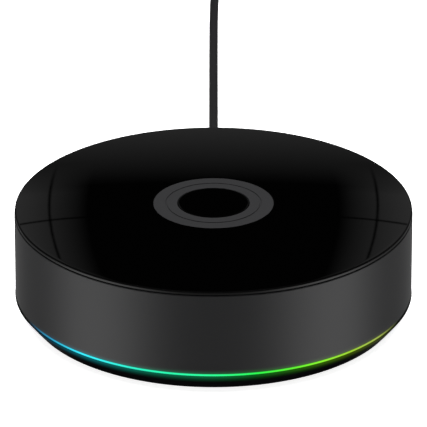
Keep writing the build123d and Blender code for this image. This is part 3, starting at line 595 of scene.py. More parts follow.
# Each metal's name, colour and roughness, its lines' size in millimetres and how they're drawn
# out, and its tarnish.
METALS = {
    "cast_aluminium": ("cast_aluminium", (0.62, 0.63, 0.65, 1), 0.42, 0.5, EVEN, 0.25),
    "shield_metal": ("tinned_can", (0.6, 0.6, 0.57, 1), 0.3, 0.3, DRAWN_Y, 0.25),
    "socket_metal": ("nickel_socket", (0.6, 0.59, 0.57, 1), 0.24, 0.2, DRAWN_Y, 0.15),
    "contact_gold": ("gold_contact", (0.9, 0.66, 0.28, 1), 0.22, 0.2, DRAWN_Y, 0.1),
    "screw_steel": ("zinc_screw", (0.55, 0.56, 0.58, 1), 0.33, 0.15, EVEN, 0.25),
    "aerial_copper": ("aerial_copper", (0.74, 0.42, 0.24, 1), 0.3, 0.4, EVEN, 0.25),
}
for slot_name, (metal, colour, roughness, line, stretch, tarnish) in METALS.items():
    FINISHES[slot_name] = worked_metal(metal, colour, roughness, line * MM, stretch, tarnish)


# %% Board, cable film and lamp
PADS_PER_METRE = 420.0
TRACK_WIDTH = 1.6 * MM
TRACK_STRETCH = (1.0, 0.12, 1.0)
FILM_PITCH = 1.0 * MM


def board_finish():
    """Green mask over tracks, which are bands of a noise, with gold pads in some cells."""
    finish = Finish("board_mask")
    inputs = {"Vector": finish.place, "Scale": PADS_PER_METRE}
    cells = finish.node("ShaderNodeTexVoronoi", {"distance": "CHEBYCHEV"}, inputs)
    bands = finish.noise(TRACK_WIDTH, 1.0, 0.3, finish.stretched(TRACK_STRETCH))
    tracks = bands.above(0.5, 0.03) - bands.above(0.56, 0.03)
    pads = 1.0 - cells.above(0.16, 0.03)
    mask = finish.mix(tracks.clamped(), from_screen(12, 66, 44), from_screen(24, 92, 60))
    paint = finish.mix(pads, mask, from_screen(190, 160, 96))
    relief = tracks * 0.6 + pads * 0.4
    finish.surface(Base_Color=paint, Roughness=pads * -0.1 + 0.38, Metallic=pads * 0.8)
    return finish.surface(Normal=finish.bump(relief, 0.03 * MM, 0.6))


def film_finish():
    """Amber film over copper strips: a sine wave across the cable."""
    finish = Finish("cable_film")
    x, _, _ = finish.axes()
    copper = x.wave(FILM_PITCH).above(0.1, 0.3)
    paint = finish.mix(copper, from_screen(196, 150, 84), from_screen(214, 176, 118))
    finish.surface(Base_Color=paint, Roughness=finish.noise(2 * MM) * 0.1 + 0.35)
    return finish.surface(Normal=finish.bump(copper, 0.02 * MM, 0.5))


def lamp_finish():
    """A cream lamp body that shines in the slit's colour at its own place."""
    finish = Finish("lamp_body")
    x, _, _ = finish.axes()
    body = finish.noise(0.5 * MM, 2.0)
    paint = finish.mix(body, from_screen(220, 220, 205), from_screen(240, 238, 222))
    finish.surface(Base_Color=paint, Roughness=body * 0.1 + 0.3)
    return finish.surface(Emission_Color=glow_colour(finish, x), Emission_Strength=2.0)


FINISHES["circuit_board"] = board_finish()
FINISHES["flat_cable"] = film_finish()
FINISHES["lamp"] = lamp_finish()


# %% [markdown]
# ## Cord and tie
# The cord's jacket is extruded rubbery plastic: it shows a fine draw line along it and a
# slightly waxy gloss. The tie is a woven strap of loop tape.

# %% Cord and tie finishes
CORD_DARK = from_screen(24, 24, 25)
CORD_LIGHT = from_screen(31, 31, 32)
WEAVE_PITCH = 0.5 * MM


def cord_finish():
    """A dark jacket with a waxy drift of gloss and a fine draw texture."""
    finish = Finish("cord_jacket")
    wax = finish.noise(6 * MM, 3.0)
    draw = finish.noise(0.3 * MM, 3.0, 0.6)
    paint = finish.mix((wax * 0.5 + draw * 0.5).clamped(), CORD_DARK, CORD_LIGHT)
    finish.surface(Base_Color=paint, Roughness=(wax - 0.5) * 0.12 + 0.48)
    return finish.surface(Normal=finish.bump(draw, 0.008 * MM, 0.4), Specular_IOR_Level=0.3)


def tie_finish():
    """A weave: the product of a sine wave across the tape and one along it."""
    finish = Finish("woven_tie")
    x, y, z = finish.axes()
    weave = y.wave(WEAVE_PITCH) * (x + z).wave(WEAVE_PITCH) * 0.5 + 0.5
    paint = finish.mix(weave, from_screen(22, 22, 23), from_screen(52, 52, 54))
    finish.surface(Base_Color=paint, Roughness=weave * -0.1 + 0.9, Sheen_Weight=0.3)
    return finish.surface(Normal=finish.bump(weave, 0.06 * MM, 0.8))


FINISHES["cord_rubber"] = cord_finish()
FINISHES["tie_fabric"] = tie_finish()
print("finishes", len(FINISHES))

# %% [markdown]
# ## Surfaces from grids
# The player is round, so most of its shells are one outline turned about the upright axis. The
# outline is a few corners; each corner gets a small rounding and two support points beside it,
# which keep the rounding's shading off the long faces next to it. Turning it is one outer
# product of the outline with a circle. Everything is whole arrays: no vertex is made alone.

# %% Outline and grid helpers
ROUND_STEPS = 5
MOST_ROUND = 0.42
SUPPORT = 0.15
MERGE = 0.002 * MM


def rounded(corners, radii):
    """Each corner C becomes the curve (1-t)^2 A + 2t(1-t) C + t^2 B, where A and B lie the
    corner's radius before and after it along the outline; a support point goes beside A and B."""
    corners = np.array(corners, float)
    radii = np.broadcast_to(np.array(radii, float), len(corners))
    before = np.roll(corners, 1, axis=0) - corners
    after = np.roll(corners, -1, axis=0) - corners
    reach_before = np.linalg.norm(before, axis=1)
    reach_after = np.linalg.norm(after, axis=1)
    reach = np.minimum(radii, MOST_ROUND * np.minimum(reach_before, reach_after))[:, None]
    first = corners + before / reach_before[:, None] * reach
    last = corners + after / reach_after[:, None] * reach
    t = np.linspace(0.0, 1.0, ROUND_STEPS)[None, :, None]
    bend = (1 - t) ** 2 * first[:, None] + 2 * t * (1 - t) * corners[:, None]
    bend += t**2 * last[:, None]
    support_first = first + (first - corners) * SUPPORT
    support_last = last + (last - corners) * SUPPORT
    rows = [support_first[:, None], bend, support_last[:, None]]
    return np.concatenate(rows, axis=1).reshape(-1, 2)


def grid_faces(rows, columns, wrap_rows=False, wrap_columns=False):
    """Quads of a grid of rows x columns points, numbered row by row."""
    row = np.arange(rows if wrap_rows else rows - 1)
    column = np.arange(columns if wrap_columns else columns - 1)
    r, c = np.meshgrid(row, column, indexing="ij")
    r_next = (r + 1) % rows
    c_next = (c + 1) % columns
    quads = [r * columns + c, r * columns + c_next, r_next * columns + c_next, r_next * columns + c]
    return np.stack(quads, axis=-1).reshape(-1, 4)


def turned(outline, segments=192, centre=(0.0, 0.0)):
    """A closed outline of (radius, height) turned about an upright axis: point (r, z) at angle a
    is (r cos a, r sin a, z)."""
    outline = np.array(outline, float)
    angle = np.linspace(0.0, 2 * math.pi, segments, endpoint=False)
    ring = np.column_stack([np.cos(angle), np.sin(angle)])
    points = np.empty((len(outline), segments, 3))
    points[..., :2] = outline[:, None, :1] * ring[None] + np.array(centre)
    points[..., 2] = outline[:, None, 1]
    return points.reshape(-1, 3), grid_faces(len(outline), segments, True, True)


def arc_block(outline, start, end, segments=12):
    """The outline turned only from one angle to another, in degrees, with both ends closed."""
    outline = np.array(outline, float)
    angle = np.radians(np.linspace(start, end, segments))
    ring = np.column_stack([np.cos(angle), np.sin(angle)])
    points = np.empty((segments, len(outline), 3))
    points[..., :2] = outline[None, :, :1] * ring[:, None]
    points[..., 2] = outline[None, :, 1]
    return with_ends(points)


def with_ends(sections):
    """Closed sections (n, m, 3) joined side by side, each end closed by a fan to its middle."""
    count, around = sections.shape[:2]
    middles = np.stack([sections[0].mean(axis=0), sections[-1].mean(axis=0)])
    points = np.vstack([sections.reshape(-1, 3), middles])
    sides = grid_faces(count, around, False, True)
    index = np.arange(around)
    following = (index + 1) % around
    low = np.stack([following, index, np.full(around, count * around)], axis=1)
    top = (count - 1) * around
    high = np.stack([top + index, top + following, np.full(around, count * around + 1)], axis=1)
    return points, [*sides.tolist(), *low.tolist(), *high.tolist()]


def joined(*parts):
    """Several (points, faces) as one, with the faces' numbers moved along."""
    points = np.vstack([part[0] for part in parts])
    starts = np.cumsum([0, *[len(part[0]) for part in parts[:-1]]])
    faces = []
    for start, part in zip(starts.tolist(), parts):
        part_faces = np.asarray(part[1], object).tolist()
        faces += [[corner + start for corner in face] for face in part_faces]
    return points, faces


def piece(name, parts, node, finish=None, body="chassis", sharp=32.0):
    """Makes the mesh, in millimetres, parents it to a body and hides the CAD node it stands for. It
    takes the finish of that node's slot unless another is named. Each part is one closed shell, and
    the faces are turned to point outwards once the parts are joined."""
    mesh = bpy.data.meshes.new(name)
    points, faces = joined(*parts)
    mesh.from_pydata((points * MM).tolist(), [], faces)
    work = bmesh.new()
    work.from_mesh(mesh)
    bmesh.ops.remove_doubles(work, verts=work.verts, dist=MERGE)
    bmesh.ops.dissolve_degenerate(work, edges=work.edges, dist=MERGE)
    loose = [edge for edge in work.edges if not edge.link_faces]
    bmesh.ops.delete(work, geom=loose, context="EDGES")
    bmesh.ops.recalc_face_normals(work, faces=work.faces)
    work.to_mesh(mesh)
    open_edges = sum(1 for edge in work.edges if not edge.is_manifold)
    work.free()
    mesh.shade_smooth()
    mesh.set_sharp_from_angle(angle=math.radians(sharp))
    mesh.materials.append(FINISHES[finish or SLOT_OF[node]].material)
    made = bpy.data.objects.new(name, mesh)
    bpy.context.scene.collection.objects.link(made)
    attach(made, body)
    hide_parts(node)
    print(name, len(mesh.polygons), "faces,", open_edges, "open edges")
    return made


def crown(radius):
    """Height of the crowned top at a radius, in millimetres: the apex less r^2 / 2R."""
    return APEX_Z / MM - np.asarray(radius, float) ** 2 / (2 * DOME_R / MM)


def crown_points(radius_from, radius_to, count):
    """Points of the crowned top from one radius to another."""
    radius = np.linspace(radius_from, radius_to, count)
    return np.column_stack([radius, crown(radius)])


print("mesh helpers ready")

# %% [markdown]
# ## Glossy cover
# A thin crowned disc with a step in its middle for the ring. Its edge has a small satin bevel.
# Under it are a skirt that drops into the sleeve, six snap tongues with barbs, and three screw
# bosses for the button board. Turned from one outline, with the tongues as short arcs.

# %% Cover
COVER_R = span("top_cover", 0)[1] / MM
COVER_EDGE = 32.8
COVER_BEVEL = 0.35
COVER_UNDER = 31.8
SKIRT = (56.1, 57.5)
SKIRT_LOW = 28.0
RECESS_R = 18.15
RECESS_Z = 33.4
HOLE_R = 11.4
TONGUE = (53.9, 55.2)
TONGUE_LOW = span("top_cover", 2)[0] / MM
BARB_OUT = 56.4
BARB_TOP = 26.6
TONGUE_ANGLES = (20, 160, 210, 250, 290, 330)
TONGUE_HALF = 7.0
BOSS_ANGLES = (90, 210, 330)
BUTTON_BOSS = (2.8, 0.85)
BUTTON_BOSS_AT = 17.0
BUTTON_BOSS_LOW = 24.0
SLEEVE_LIP = 57.8


def cover_outline():
    """Under face, skirt, edge, bevel, crown and recess, as (radius, height) corners."""
    bevel_r = COVER_R - COVER_BEVEL
    bevel_z = float(crown(bevel_r))
    inner = [(RECESS_R, float(crown(RECESS_R))), (RECESS_R, RECESS_Z), (HOLE_R, RECESS_Z)]
    under = [(HOLE_R, COVER_UNDER), (SKIRT[0], COVER_UNDER), (SKIRT[0], SKIRT_LOW)]
    skirt = [(SKIRT[1], SKIRT_LOW), (SKIRT[1], COVER_UNDER), (SLEEVE_LIP, COVER_UNDER)]
    edge = [(SLEEVE_LIP, COVER_EDGE), (COVER_R, COVER_EDGE), (COVER_R, bevel_z - COVER_BEVEL)]
    corners = inner + under + skirt + edge + [(bevel_r, bevel_z)]
    radii = [0.08] * 2 + [0.1] * 7 + [0.02, 0.12, 0.12, 0.12]
    outline = rounded(corners, radii)
    top = crown_points(bevel_r - 0.3, RECESS_R + 0.3, 60)
    return np.vstack([outline, top])


def snap_tongue(angle):
    """A leg with a barb that points outwards, over a short arc."""
    corners = [
        (TONGUE[0], TONGUE_LOW),
        (TONGUE[1], TONGUE_LOW),
        (BARB_OUT, TONGUE_LOW + 0.2),
        (BARB_OUT, BARB_TOP - 0.4),
        (TONGUE[1], BARB_TOP),
        (TONGUE[1], COVER_UNDER + 0.1),
        (TONGUE[0], COVER_UNDER + 0.1),
    ]
    return arc_block(rounded(corners, 0.12), angle - TONGUE_HALF, angle + TONGUE_HALF)


def screw_boss(at_radius, angle, radii, low, high, segments=40):
    """An upright tube: outer and bore radius, from low to high."""
    turn = math.radians(angle)
    centre = (at_radius * math.cos(turn), at_radius * math.sin(turn))
    corners = [(radii[1], low), (radii[0], low), (radii[0], high), (radii[1], high)]
    return turned(rounded(corners, 0.1), segments, centre)


cover_parts = [turned(cover_outline(), 256)]
cover_parts += [snap_tongue(angle) for angle in TONGUE_ANGLES]
for boss_angle in BOSS_ANGLES:
    heights = (BUTTON_BOSS_LOW, COVER_UNDER + 0.1)
    cover_parts.append(screw_boss(BUTTON_BOSS_AT, boss_angle, BUTTON_BOSS, *heights))
piece("crowned_cover", cover_parts, "top_cover")

# %% [markdown]
# ## Button ring and button
# The grey ring lies flush in the cover's recess, with one fine groove around it as a generic
# mark. The button is a gloss disc with a hidden flange and a stem that reaches the switch.

# %% Ring and button
RING_IN, RING_OUT = 10.9, 18.1
GROOVE = (14.0, 14.5)
GROOVE_DEEP = 0.25
CAP_R = 10.6
FLANGE_R = 12.4
FLANGE_Z = (30.6, 31.5)
STEM_R = 2.2
STEM_LOW = span("button_cap", 2)[0] / MM


def ring_outline():
    """The ring's section, with the crown on top and a square groove in it."""
    groove_low = float(crown(GROOVE[0])) - GROOVE_DEEP
    corners = [
        (RING_IN, RECESS_Z),
        (RING_OUT, RECESS_Z),
        (RING_OUT, float(crown(RING_OUT))),
        (GROOVE[1], float(crown(GROOVE[1]))),
        (GROOVE[1], groove_low),
        (GROOVE[0], groove_low),
        (GROOVE[0], float(crown(GROOVE[0]))),
        (RING_IN, float(crown(RING_IN))),
    ]
    return rounded(corners, [0.1, 0.1, 0.15, 0.08, 0.04, 0.04, 0.08, 0.15])


def cap_outline():
    """Half section of the button, from the axis at the top round to the stem's end."""
    top = crown_points(0.0, CAP_R - 0.3, 24)
    corners = [
        (0.0, float(crown(0.0))),
        (CAP_R, float(crown(CAP_R))),
        (CAP_R, FLANGE_Z[1]),
        (FLANGE_R, FLANGE_Z[1]),
        (FLANGE_R, FLANGE_Z[0]),
        (STEM_R, FLANGE_Z[0]),
        (STEM_R, STEM_LOW),
        (0.0, STEM_LOW),
    ]
    radii = [0.0, 0.18, 0.1, 0.12, 0.12, 0.1, 0.15, 0.0]
    return np.vstack([top, rounded(corners, radii)[ROUND_STEPS + 2:]])


piece("grey_ring", [turned(ring_outline(), 160)], "button_ring")
piece("button_disc", [turned(cap_outline(), 128)], "button_cap", body="top_button")

# %% [markdown]
# ## Sleeve with its port window
# The sleeve is a tube with a window at the back for the ports. A boolean would cut the window in
# one line, but it leaves slivers that spoil the wall's shading. Instead the grid of the wall is
# warped so that its own rows and columns follow the window's rounded corners; the cells inside
# are left out, and a rounded strip joins the outer and inner wall round the hole.

# %% Sleeve walls
SLEEVE_LOW = SLEEVE_Z / MM
SLEEVE_HIGH = SLEEVE_TOP / MM
SLEEVE_R = (57.8, 60.0)
WINDOW_X = 30.0
WINDOW_Z = (8.6, 25.6)
WINDOW_ROUND = 2.0
LIP = 0.3
CORNER_STEPS = 7
FLAT_STEPS = 25
WALL_STEPS = 220
WINDOW_ROWS = 15
RIM_EDGE = 0.35
RIM_SUPPORT = 0.06
ROWS_ABOVE = 5


def window_columns(grow):
    """x of each column across the window, and its lower and upper height there. The corner's
    column at angle q is at x = flat half + r sin q, with its height r (1 - cos q) off the edge."""
    radius = WINDOW_ROUND + grow
    flat = WINDOW_X - WINDOW_ROUND
    q = np.linspace(math.pi / 2, 0.0, CORNER_STEPS)
    corner = flat + radius * np.sin(q)
    middle = np.linspace(flat, -flat, FLAT_STEPS)[1:-1]
    x = np.concatenate([corner, middle, -corner[::-1]])
    drop = radius * (1 - np.cos(q))
    lift = np.concatenate([drop, np.zeros(len(middle)), drop[::-1]])
    return x, WINDOW_Z[0] - grow + lift, WINDOW_Z[1] + grow - lift


def wall_grid(radii, heights, grow):
    """Rows at the given (radius, height) pairs below and above the window, with rows between
    that follow its edge. Columns cross the window first and then go round the front."""
    x, low, high = window_columns(grow)
    edge = x[0]
    columns = len(x) + WALL_STEPS - 1
    rows_r = np.concatenate([radii[0], np.full(WINDOW_ROWS, radii[0][-1]), radii[1]])
    start = np.arccos(edge / rows_r)
    u = np.linspace(0.0, 1.0, WALL_STEPS + 1)[1:-1]
    around = math.pi - start[:, None] + u[None] * (math.pi + 2 * start[:, None])
    window_xs = np.broadcast_to(x, (len(rows_r), len(x)))
    xs = np.hstack([window_xs, rows_r[:, None] * np.cos(around)])
    window_ys = np.sqrt(rows_r[:, None] ** 2 - window_xs**2)
    ys = np.hstack([window_ys, rows_r[:, None] * np.sin(around)])
    low_all = np.concatenate([low, np.full(WALL_STEPS - 1, low[0])])
    high_all = np.concatenate([high, np.full(WALL_STEPS - 1, high[0])])
    share = np.linspace(0.0, 1.0, WINDOW_ROWS)[:, None]
    between = low_all + share * (high_all - low_all)
    below = np.broadcast_to(heights[0][:, None], (len(heights[0]), columns))
    above = np.broadcast_to(heights[1][:, None], (len(heights[1]), columns))
    points = np.stack([xs, ys, np.vstack([below, between, above])], axis=-1)
    return points, len(heights[0]), len(x)


def window_border(points, first_row, window_columns_count):
    """The loop of a wall's points round the window."""
    top = first_row + WINDOW_ROWS - 1
    last = window_columns_count - 1
    bottom_edge = points[first_row, : last + 1]
    far_edge = points[first_row + 1 : top, last]
    top_edge = points[top, : last + 1][::-1]
    near_edge = points[first_row + 1 : top, 0][::-1]
    return np.vstack([bottom_edge, far_edge, top_edge, near_edge])


def wall_faces(points, first_row, window_count):
    """All quads of a wall but those inside the window."""
    rows, columns = points.shape[:2]
    quads = grid_faces(rows, columns, False, True)
    row = quads[:, 0] // columns
    column = quads[:, 0] % columns
    inside = (row >= first_row) & (row < first_row + WINDOW_ROWS - 1) & (column < window_count - 1)
    return quads[~inside]


def sleeve_wall():
    """Outer wall with rounded rims, inner wall, the two rim faces and the window's strip."""
    t = np.linspace(0.0, math.pi / 2, ROUND_STEPS)
    rim_r = SLEEVE_R[1] - RIM_EDGE + RIM_EDGE * np.sin(t)
    low_r = np.concatenate([rim_r, [SLEEVE_R[1]]])
    low_rim = SLEEVE_LOW + RIM_EDGE - RIM_EDGE * np.cos(t)
    low_z = np.concatenate([low_rim, [SLEEVE_LOW + RIM_EDGE + RIM_SUPPORT]])
    high_rim = (SLEEVE_HIGH - RIM_EDGE + RIM_EDGE * np.cos(t))[::-1]
    high_z = np.concatenate([[SLEEVE_HIGH - RIM_EDGE - RIM_SUPPORT], high_rim])
    steps = np.linspace(WINDOW_Z[1] + 1.0, high_z[0] - 0.5, ROWS_ABOVE)
    high_z = np.concatenate([steps, high_z])
    high_r = np.concatenate([np.full(ROWS_ABOVE, SLEEVE_R[1]), low_r[::-1]])
    outer, outer_row, count = wall_grid((low_r, high_r), (low_z, high_z), LIP)
    inner_r = np.full(2, SLEEVE_R[0])
    inner_low = np.array([SLEEVE_LOW, SLEEVE_LOW + 0.5])
    inner_high = np.array([SLEEVE_HIGH - 0.5, SLEEVE_HIGH])
    inner, inner_row, count = wall_grid((inner_r, inner_r), (inner_low, inner_high), 0.0)
    columns = outer.shape[1]
    rim_low = np.stack([outer[0], inner[0]])
    rim_high = np.stack([outer[-1], inner[-1]])
    rim_faces = grid_faces(2, columns, False, True)
    rims = [(rim.reshape(-1, 3), rim_faces) for rim in (rim_low, rim_high)]
    mouth_outer = window_border(outer, outer_row, count)
    mouth_inner = window_border(inner, inner_row, count)
    turn = np.linspace(0.0, math.pi / 2, ROUND_STEPS)[:, None, None]
    deep = mouth_inner * np.array([1.0, 0.0, 1.0]) + mouth_outer * np.array([0.0, 1.0, 0.0])
    drop = np.array([0.0, LIP, 0.0])
    lip = deep + (mouth_outer - deep) * (1 - np.sin(turn)) - drop * (1 - np.cos(turn))
    strip = np.concatenate([lip, mouth_inner[None]])
    mouth = (strip.reshape(-1, 3), grid_faces(len(strip), strip.shape[1], False, True))
    walls = [
        (outer.reshape(-1, 3), wall_faces(outer, outer_row, count)),
        (inner.reshape(-1, 3), wall_faces(inner, inner_row, count)),
    ]
    return joined(*walls, *rims, mouth)


# %% Sleeve ledge and bosses
LEDGE_R = (55.5, 57.9)
LEDGE_Z = (26.8, 28.0)
SLEEVE_BOSS_ANGLES = (45, 135, 225, 315)
SLEEVE_BOSS_AT = 51.5
SLEEVE_BOSS = (3.0, 0.85)
SLEEVE_BOSS_TOP = 18.0
RIB_LOW = 9.0
RIB_FROM = SLEEVE_BOSS_AT + 2.4
RIB_TO = SLEEVE_R[0] + 0.1
RIB_HALF = math.degrees(1.0 / 56.0)


def upright_rib(angle):
    """A 2 mm thick web between a boss and the wall."""
    corners = [(RIB_FROM, RIB_LOW), (RIB_TO, RIB_LOW)]
    corners += [(RIB_TO, SLEEVE_BOSS_TOP), (RIB_FROM, SLEEVE_BOSS_TOP)]
    return arc_block(rounded(corners, 0.1), angle - RIB_HALF, angle + RIB_HALF, 2)


ledge = [(LEDGE_R[0], LEDGE_Z[0]), (LEDGE_R[1], LEDGE_Z[0])]
ledge += [(LEDGE_R[1], LEDGE_Z[1]), (LEDGE_R[0], LEDGE_Z[1])]
sleeve_parts = [sleeve_wall(), turned(rounded(ledge, 0.1), 192)]
for boss_angle in SLEEVE_BOSS_ANGLES:
    sleeve_parts += [
        screw_boss(SLEEVE_BOSS_AT, boss_angle, SLEEVE_BOSS, SLEEVE_LOW, SLEEVE_BOSS_TOP),
        upright_rib(boss_angle),
    ]
piece("matte_sleeve", sleeve_parts, "outer_sleeve")

# %% [markdown]
# ## Light guide
# A milky ring whose thin lip fills the slit between base and wall. The lip is set back by a
# quarter of a millimetre, so the slit reads as a fine lit groove.

# %% Light guide
GUIDE_R = 59.75
GUIDE_Z = (6.5, 7.1)
COLLAR_R = (55.7, 57.6)
COLLAR_Z = (5.4, 8.6)
NECK_R = 56.0
guide = [(GUIDE_R, GUIDE_Z[0]), (GUIDE_R, GUIDE_Z[1]), (COLLAR_R[1], GUIDE_Z[1])]
guide += [(COLLAR_R[1], COLLAR_Z[1]), (COLLAR_R[0], COLLAR_Z[1]), (COLLAR_R[0], COLLAR_Z[0])]
guide += [(NECK_R, COLLAR_Z[0]), (NECK_R, GUIDE_Z[0])]
piece("lit_guide", [turned(rounded(guide, 0.06), 256)], "light_ring")

# %% [markdown]
# ## Base bowl
# The base tapers like a shallow bowl from the slit down to the foot ring. Twenty-four slots let
# air in under the board. The slots are the gaps between twenty-four bars that join a middle disc
# to the outer floor, so every bar is the same closed wedge turned to its own place.

# %% Base
BASE_TOP_R = 60.1
BASE_TOP_Z = 6.2
BASE_LIP = (59.8, 6.5)
BASE_LOW_R = 55.75
BASE_LOW = 0.9
BASE_BULGE = 0.05
BASE_INNER_R = 56.2
LAMP_LEDGE = (54.6, 4.2)
FLOOR_TOP = 3.0
FOOT_GROOVE = (47.4, 54.1)
FOOT_DEEP = 1.4
VENT_R = (14.0, 31.0)
VENT_WIDTH = 2.0
VENT_COUNT = 24
POST = (3.2, 1.25)
STANDOFF = (2.6, 0.85)
STANDOFF_AT = ((33.0, -24.0), (-33.0, -24.0), (34.0, 16.0), (-34.0, 16.0))
BOARD_LOW = 9.4
TUBE_LOW = FLOOR_TOP - 0.2


def bowl_curve(steps=22):
    """The bowl's side: a straight line from the floor's edge to the lip, pushed outwards by
    bulge times 4 s (1 - s)."""
    s = np.linspace(0.0, 1.0, steps)[:, None]
    low = np.array([BASE_LOW_R, BASE_LOW])
    high = np.array([BASE_TOP_R, BASE_TOP_Z])
    along = (high - low) / np.linalg.norm(high - low)
    outwards = np.array([along[1], -along[0]])
    return low + s * (high - low) + outwards * BASE_BULGE * 4 * s * (1 - s)


def base_outline():
    """From the vents' outer circle out under the floor, up the bowl and back over the floor."""
    lower = [
        (VENT_R[1], BASE_LOW),
        (FOOT_GROOVE[0], BASE_LOW),
        (FOOT_GROOVE[0], FOOT_DEEP),
        (FOOT_GROOVE[1], FOOT_DEEP),
        (FOOT_GROOVE[1], BASE_LOW),
    ]
    upper = [
        BASE_LIP,
        (BASE_INNER_R, BASE_LIP[1]),
        (BASE_INNER_R, LAMP_LEDGE[1]),
        (LAMP_LEDGE[0], LAMP_LEDGE[1]),
        (LAMP_LEDGE[0], FLOOR_TOP),
        (VENT_R[1], FLOOR_TOP),
    ]
    corners = rounded(lower + upper, 0.08)
    split = len(lower) * (ROUND_STEPS + 2)
    return np.vstack([corners[:split], bowl_curve(), corners[split:]])


def vent_bar(index):
    """The wedge between two slots. At radius r it spans the angles that are left when each slot
    takes asin(half width / r) on either side of its own angle."""
    radius = np.linspace(VENT_R[0] - 0.1, VENT_R[1] + 0.1, 12)
    pitch = 2 * math.pi / VENT_COUNT
    free = pitch / 2 - np.arcsin(VENT_WIDTH / 2 / radius)
    middle = (index + 0.5) * pitch
    low, high = BASE_LOW + 0.03, FLOOR_TOP - 0.03
    angle = middle + np.stack([-free, free, free, -free], axis=1)
    height = np.broadcast_to([low, low, high, high], angle.shape)
    across = radius[:, None]
    return with_ends(np.stack([across * np.cos(angle), across * np.sin(angle), height], axis=-1))


middle_disc = [(0.0, BASE_LOW), (VENT_R[0], BASE_LOW), (VENT_R[0], FLOOR_TOP), (0.0, FLOOR_TOP)]
middle_outline = rounded(middle_disc, [0.0, 0.1, 0.1, 0.0])
base_parts = [turned(base_outline(), 256), turned(middle_outline, 96)]
base_parts += [vent_bar(index) for index in range(VENT_COUNT)]
for boss_angle in SLEEVE_BOSS_ANGLES:
    base_parts.append(screw_boss(SLEEVE_BOSS_AT, boss_angle, POST, TUBE_LOW, SLEEVE_LOW))
standoff = [(STANDOFF[1], TUBE_LOW), (STANDOFF[0], TUBE_LOW)]
standoff += [(STANDOFF[0], BOARD_LOW), (STANDOFF[1], BOARD_LOW)]
base_parts += [turned(standoff, 32, at) for at in STANDOFF_AT]
piece("base_bowl", base_parts, "base_tray", finish="base_shell")

# %% [markdown]
# ## Foot ring
# A flat band of soft rubber in the base's groove. Two shallow channels run round its underside,
# as such feet have, so that it grips and doesn't stick.

# %% Foot ring
FOOT_R = (47.5, 54.0)
FOOT_CHANNELS = (49.8, 52.2)
CHANNEL_HALF = 0.35
CHANNEL_DEEP = 0.25


def foot_outline():
    """The band's section with its channels cut from below."""
    bottom = [(FOOT_R[0], 0.0)]
    for middle in FOOT_CHANNELS:
        bottom += [(middle - CHANNEL_HALF, 0.0), (middle - CHANNEL_HALF, CHANNEL_DEEP)]
        bottom += [(middle + CHANNEL_HALF, CHANNEL_DEEP), (middle + CHANNEL_HALF, 0.0)]
    rest = [(FOOT_R[1], 0.0), (FOOT_R[1], FOOT_DEEP), (FOOT_R[0], FOOT_DEEP)]
    return rounded(bottom + rest, 0.12)


piece("rubber_foot", [turned(foot_outline(), 160)], "foot_ring")

# %% [markdown]
# ## Port bay and sockets
# A moulding or a folded shell never has a perfectly sharp edge, and the thin highlights on its
# edges are what makes it look real. These parts, and the heatsink and shield inside, have square
# CAD shapes that are right already, so each one is a welded copy of its CAD mesh with a small
# Bevel modifier on its sharp edges.

# %% Softened copies
WELD = 0.004 * MM
# Each softened piece, the CAD node that it stands for, its body and its edges' width in mm.
SOFTENED = (
    ("port_bay_panel", "port_panel", "chassis", 0.12),
    ("video_shell", "video_socket", "chassis", 0.08),
    ("network_shell", "network_socket", "chassis", 0.1),
    ("power_inlet_shell", "power_socket", "chassis", 0.06),
    ("reset_knob", "reset_button", "reset_button", 0.12),
    ("far_plug_nose", "usb_shell", "chassis", 0.08),
    ("cast_heatsink", "heatsink", "chassis", 0.15),
    ("shield_can", "soc_shield", "chassis", 0.06),
)


def softened(name, source, body, width):
    """A copy of a CAD node, welded and flat triangles dissolved, with its sharp edges rounded."""
    node = NODES[source]
    mesh = node.data.copy()
    mesh.name = name
    work = bmesh.new()
    work.from_mesh(mesh)
    bmesh.ops.remove_doubles(work, verts=work.verts, dist=WELD)
    flat = math.radians(1.0)
    bmesh.ops.dissolve_limit(work, angle_limit=flat, verts=work.verts, edges=work.edges)
    work.to_mesh(mesh)
    work.free()
    made = bpy.data.objects.new(name, mesh)
    bpy.context.scene.collection.objects.link(made)
    bevel = made.modifiers.new("edges", "BEVEL")
    bevel.width = width * MM
    bevel.segments = 2
    bevel.limit_method = "ANGLE"
    bevel.angle_limit = math.radians(40)
    mesh.shade_smooth()
    mesh.set_sharp_from_angle(angle=math.radians(32))
    slot_name = SLOT_OF[source]
    mesh.materials.clear()
    mesh.materials.append(FINISHES[slot_name].material)
    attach(made, body)
    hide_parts(source)
    print(name, len(mesh.polygons), "faces before its bevel")
    return made


softened_pieces = {row[0]: softened(*row) for row in SOFTENED}

# %% [markdown]
# ## Plug grips
# Both plugs have a moulded grip. A grip is a rounded oblong carried along its length: its width
# and height swell from the nose, hold, and pull in at the relief, and shallow finger grooves run
# across it. The section at each station is a superellipse, which blends a box into an oval.

# %% Plug grips
SECTION_POINTS = 72
GRIP_STATIONS = 90
GRIP_DEEP = 0.3
SIDE_DEEP = 0.35
RIB_DEEP = 0.5
GRIP_SIZE = (11.6, 6.2)
GRIP_POWER = 3.2
GRIP_EDGE = 1.1
FAR_GRIP_SIZE = (15.6, 7.8)
FAR_GRIP_POWER = 4.2
FAR_GRIP_EDGE = 1.2
GRIP_GROOVES = 5
GRIP_SPAN = (0.38, 0.86)
FAR_GRIP_SPAN = (0.2, 0.62)
RELIEF_SIZE = (2.9, 1.85)
RIB_SHIFT = 0.3
RIB_SQUARE = 2.2
RIB_FADE = (1.1, 0.55)
RIB_POINTS = 16
PLAIN_POINTS = 8
JACKET_GAP = 0.06


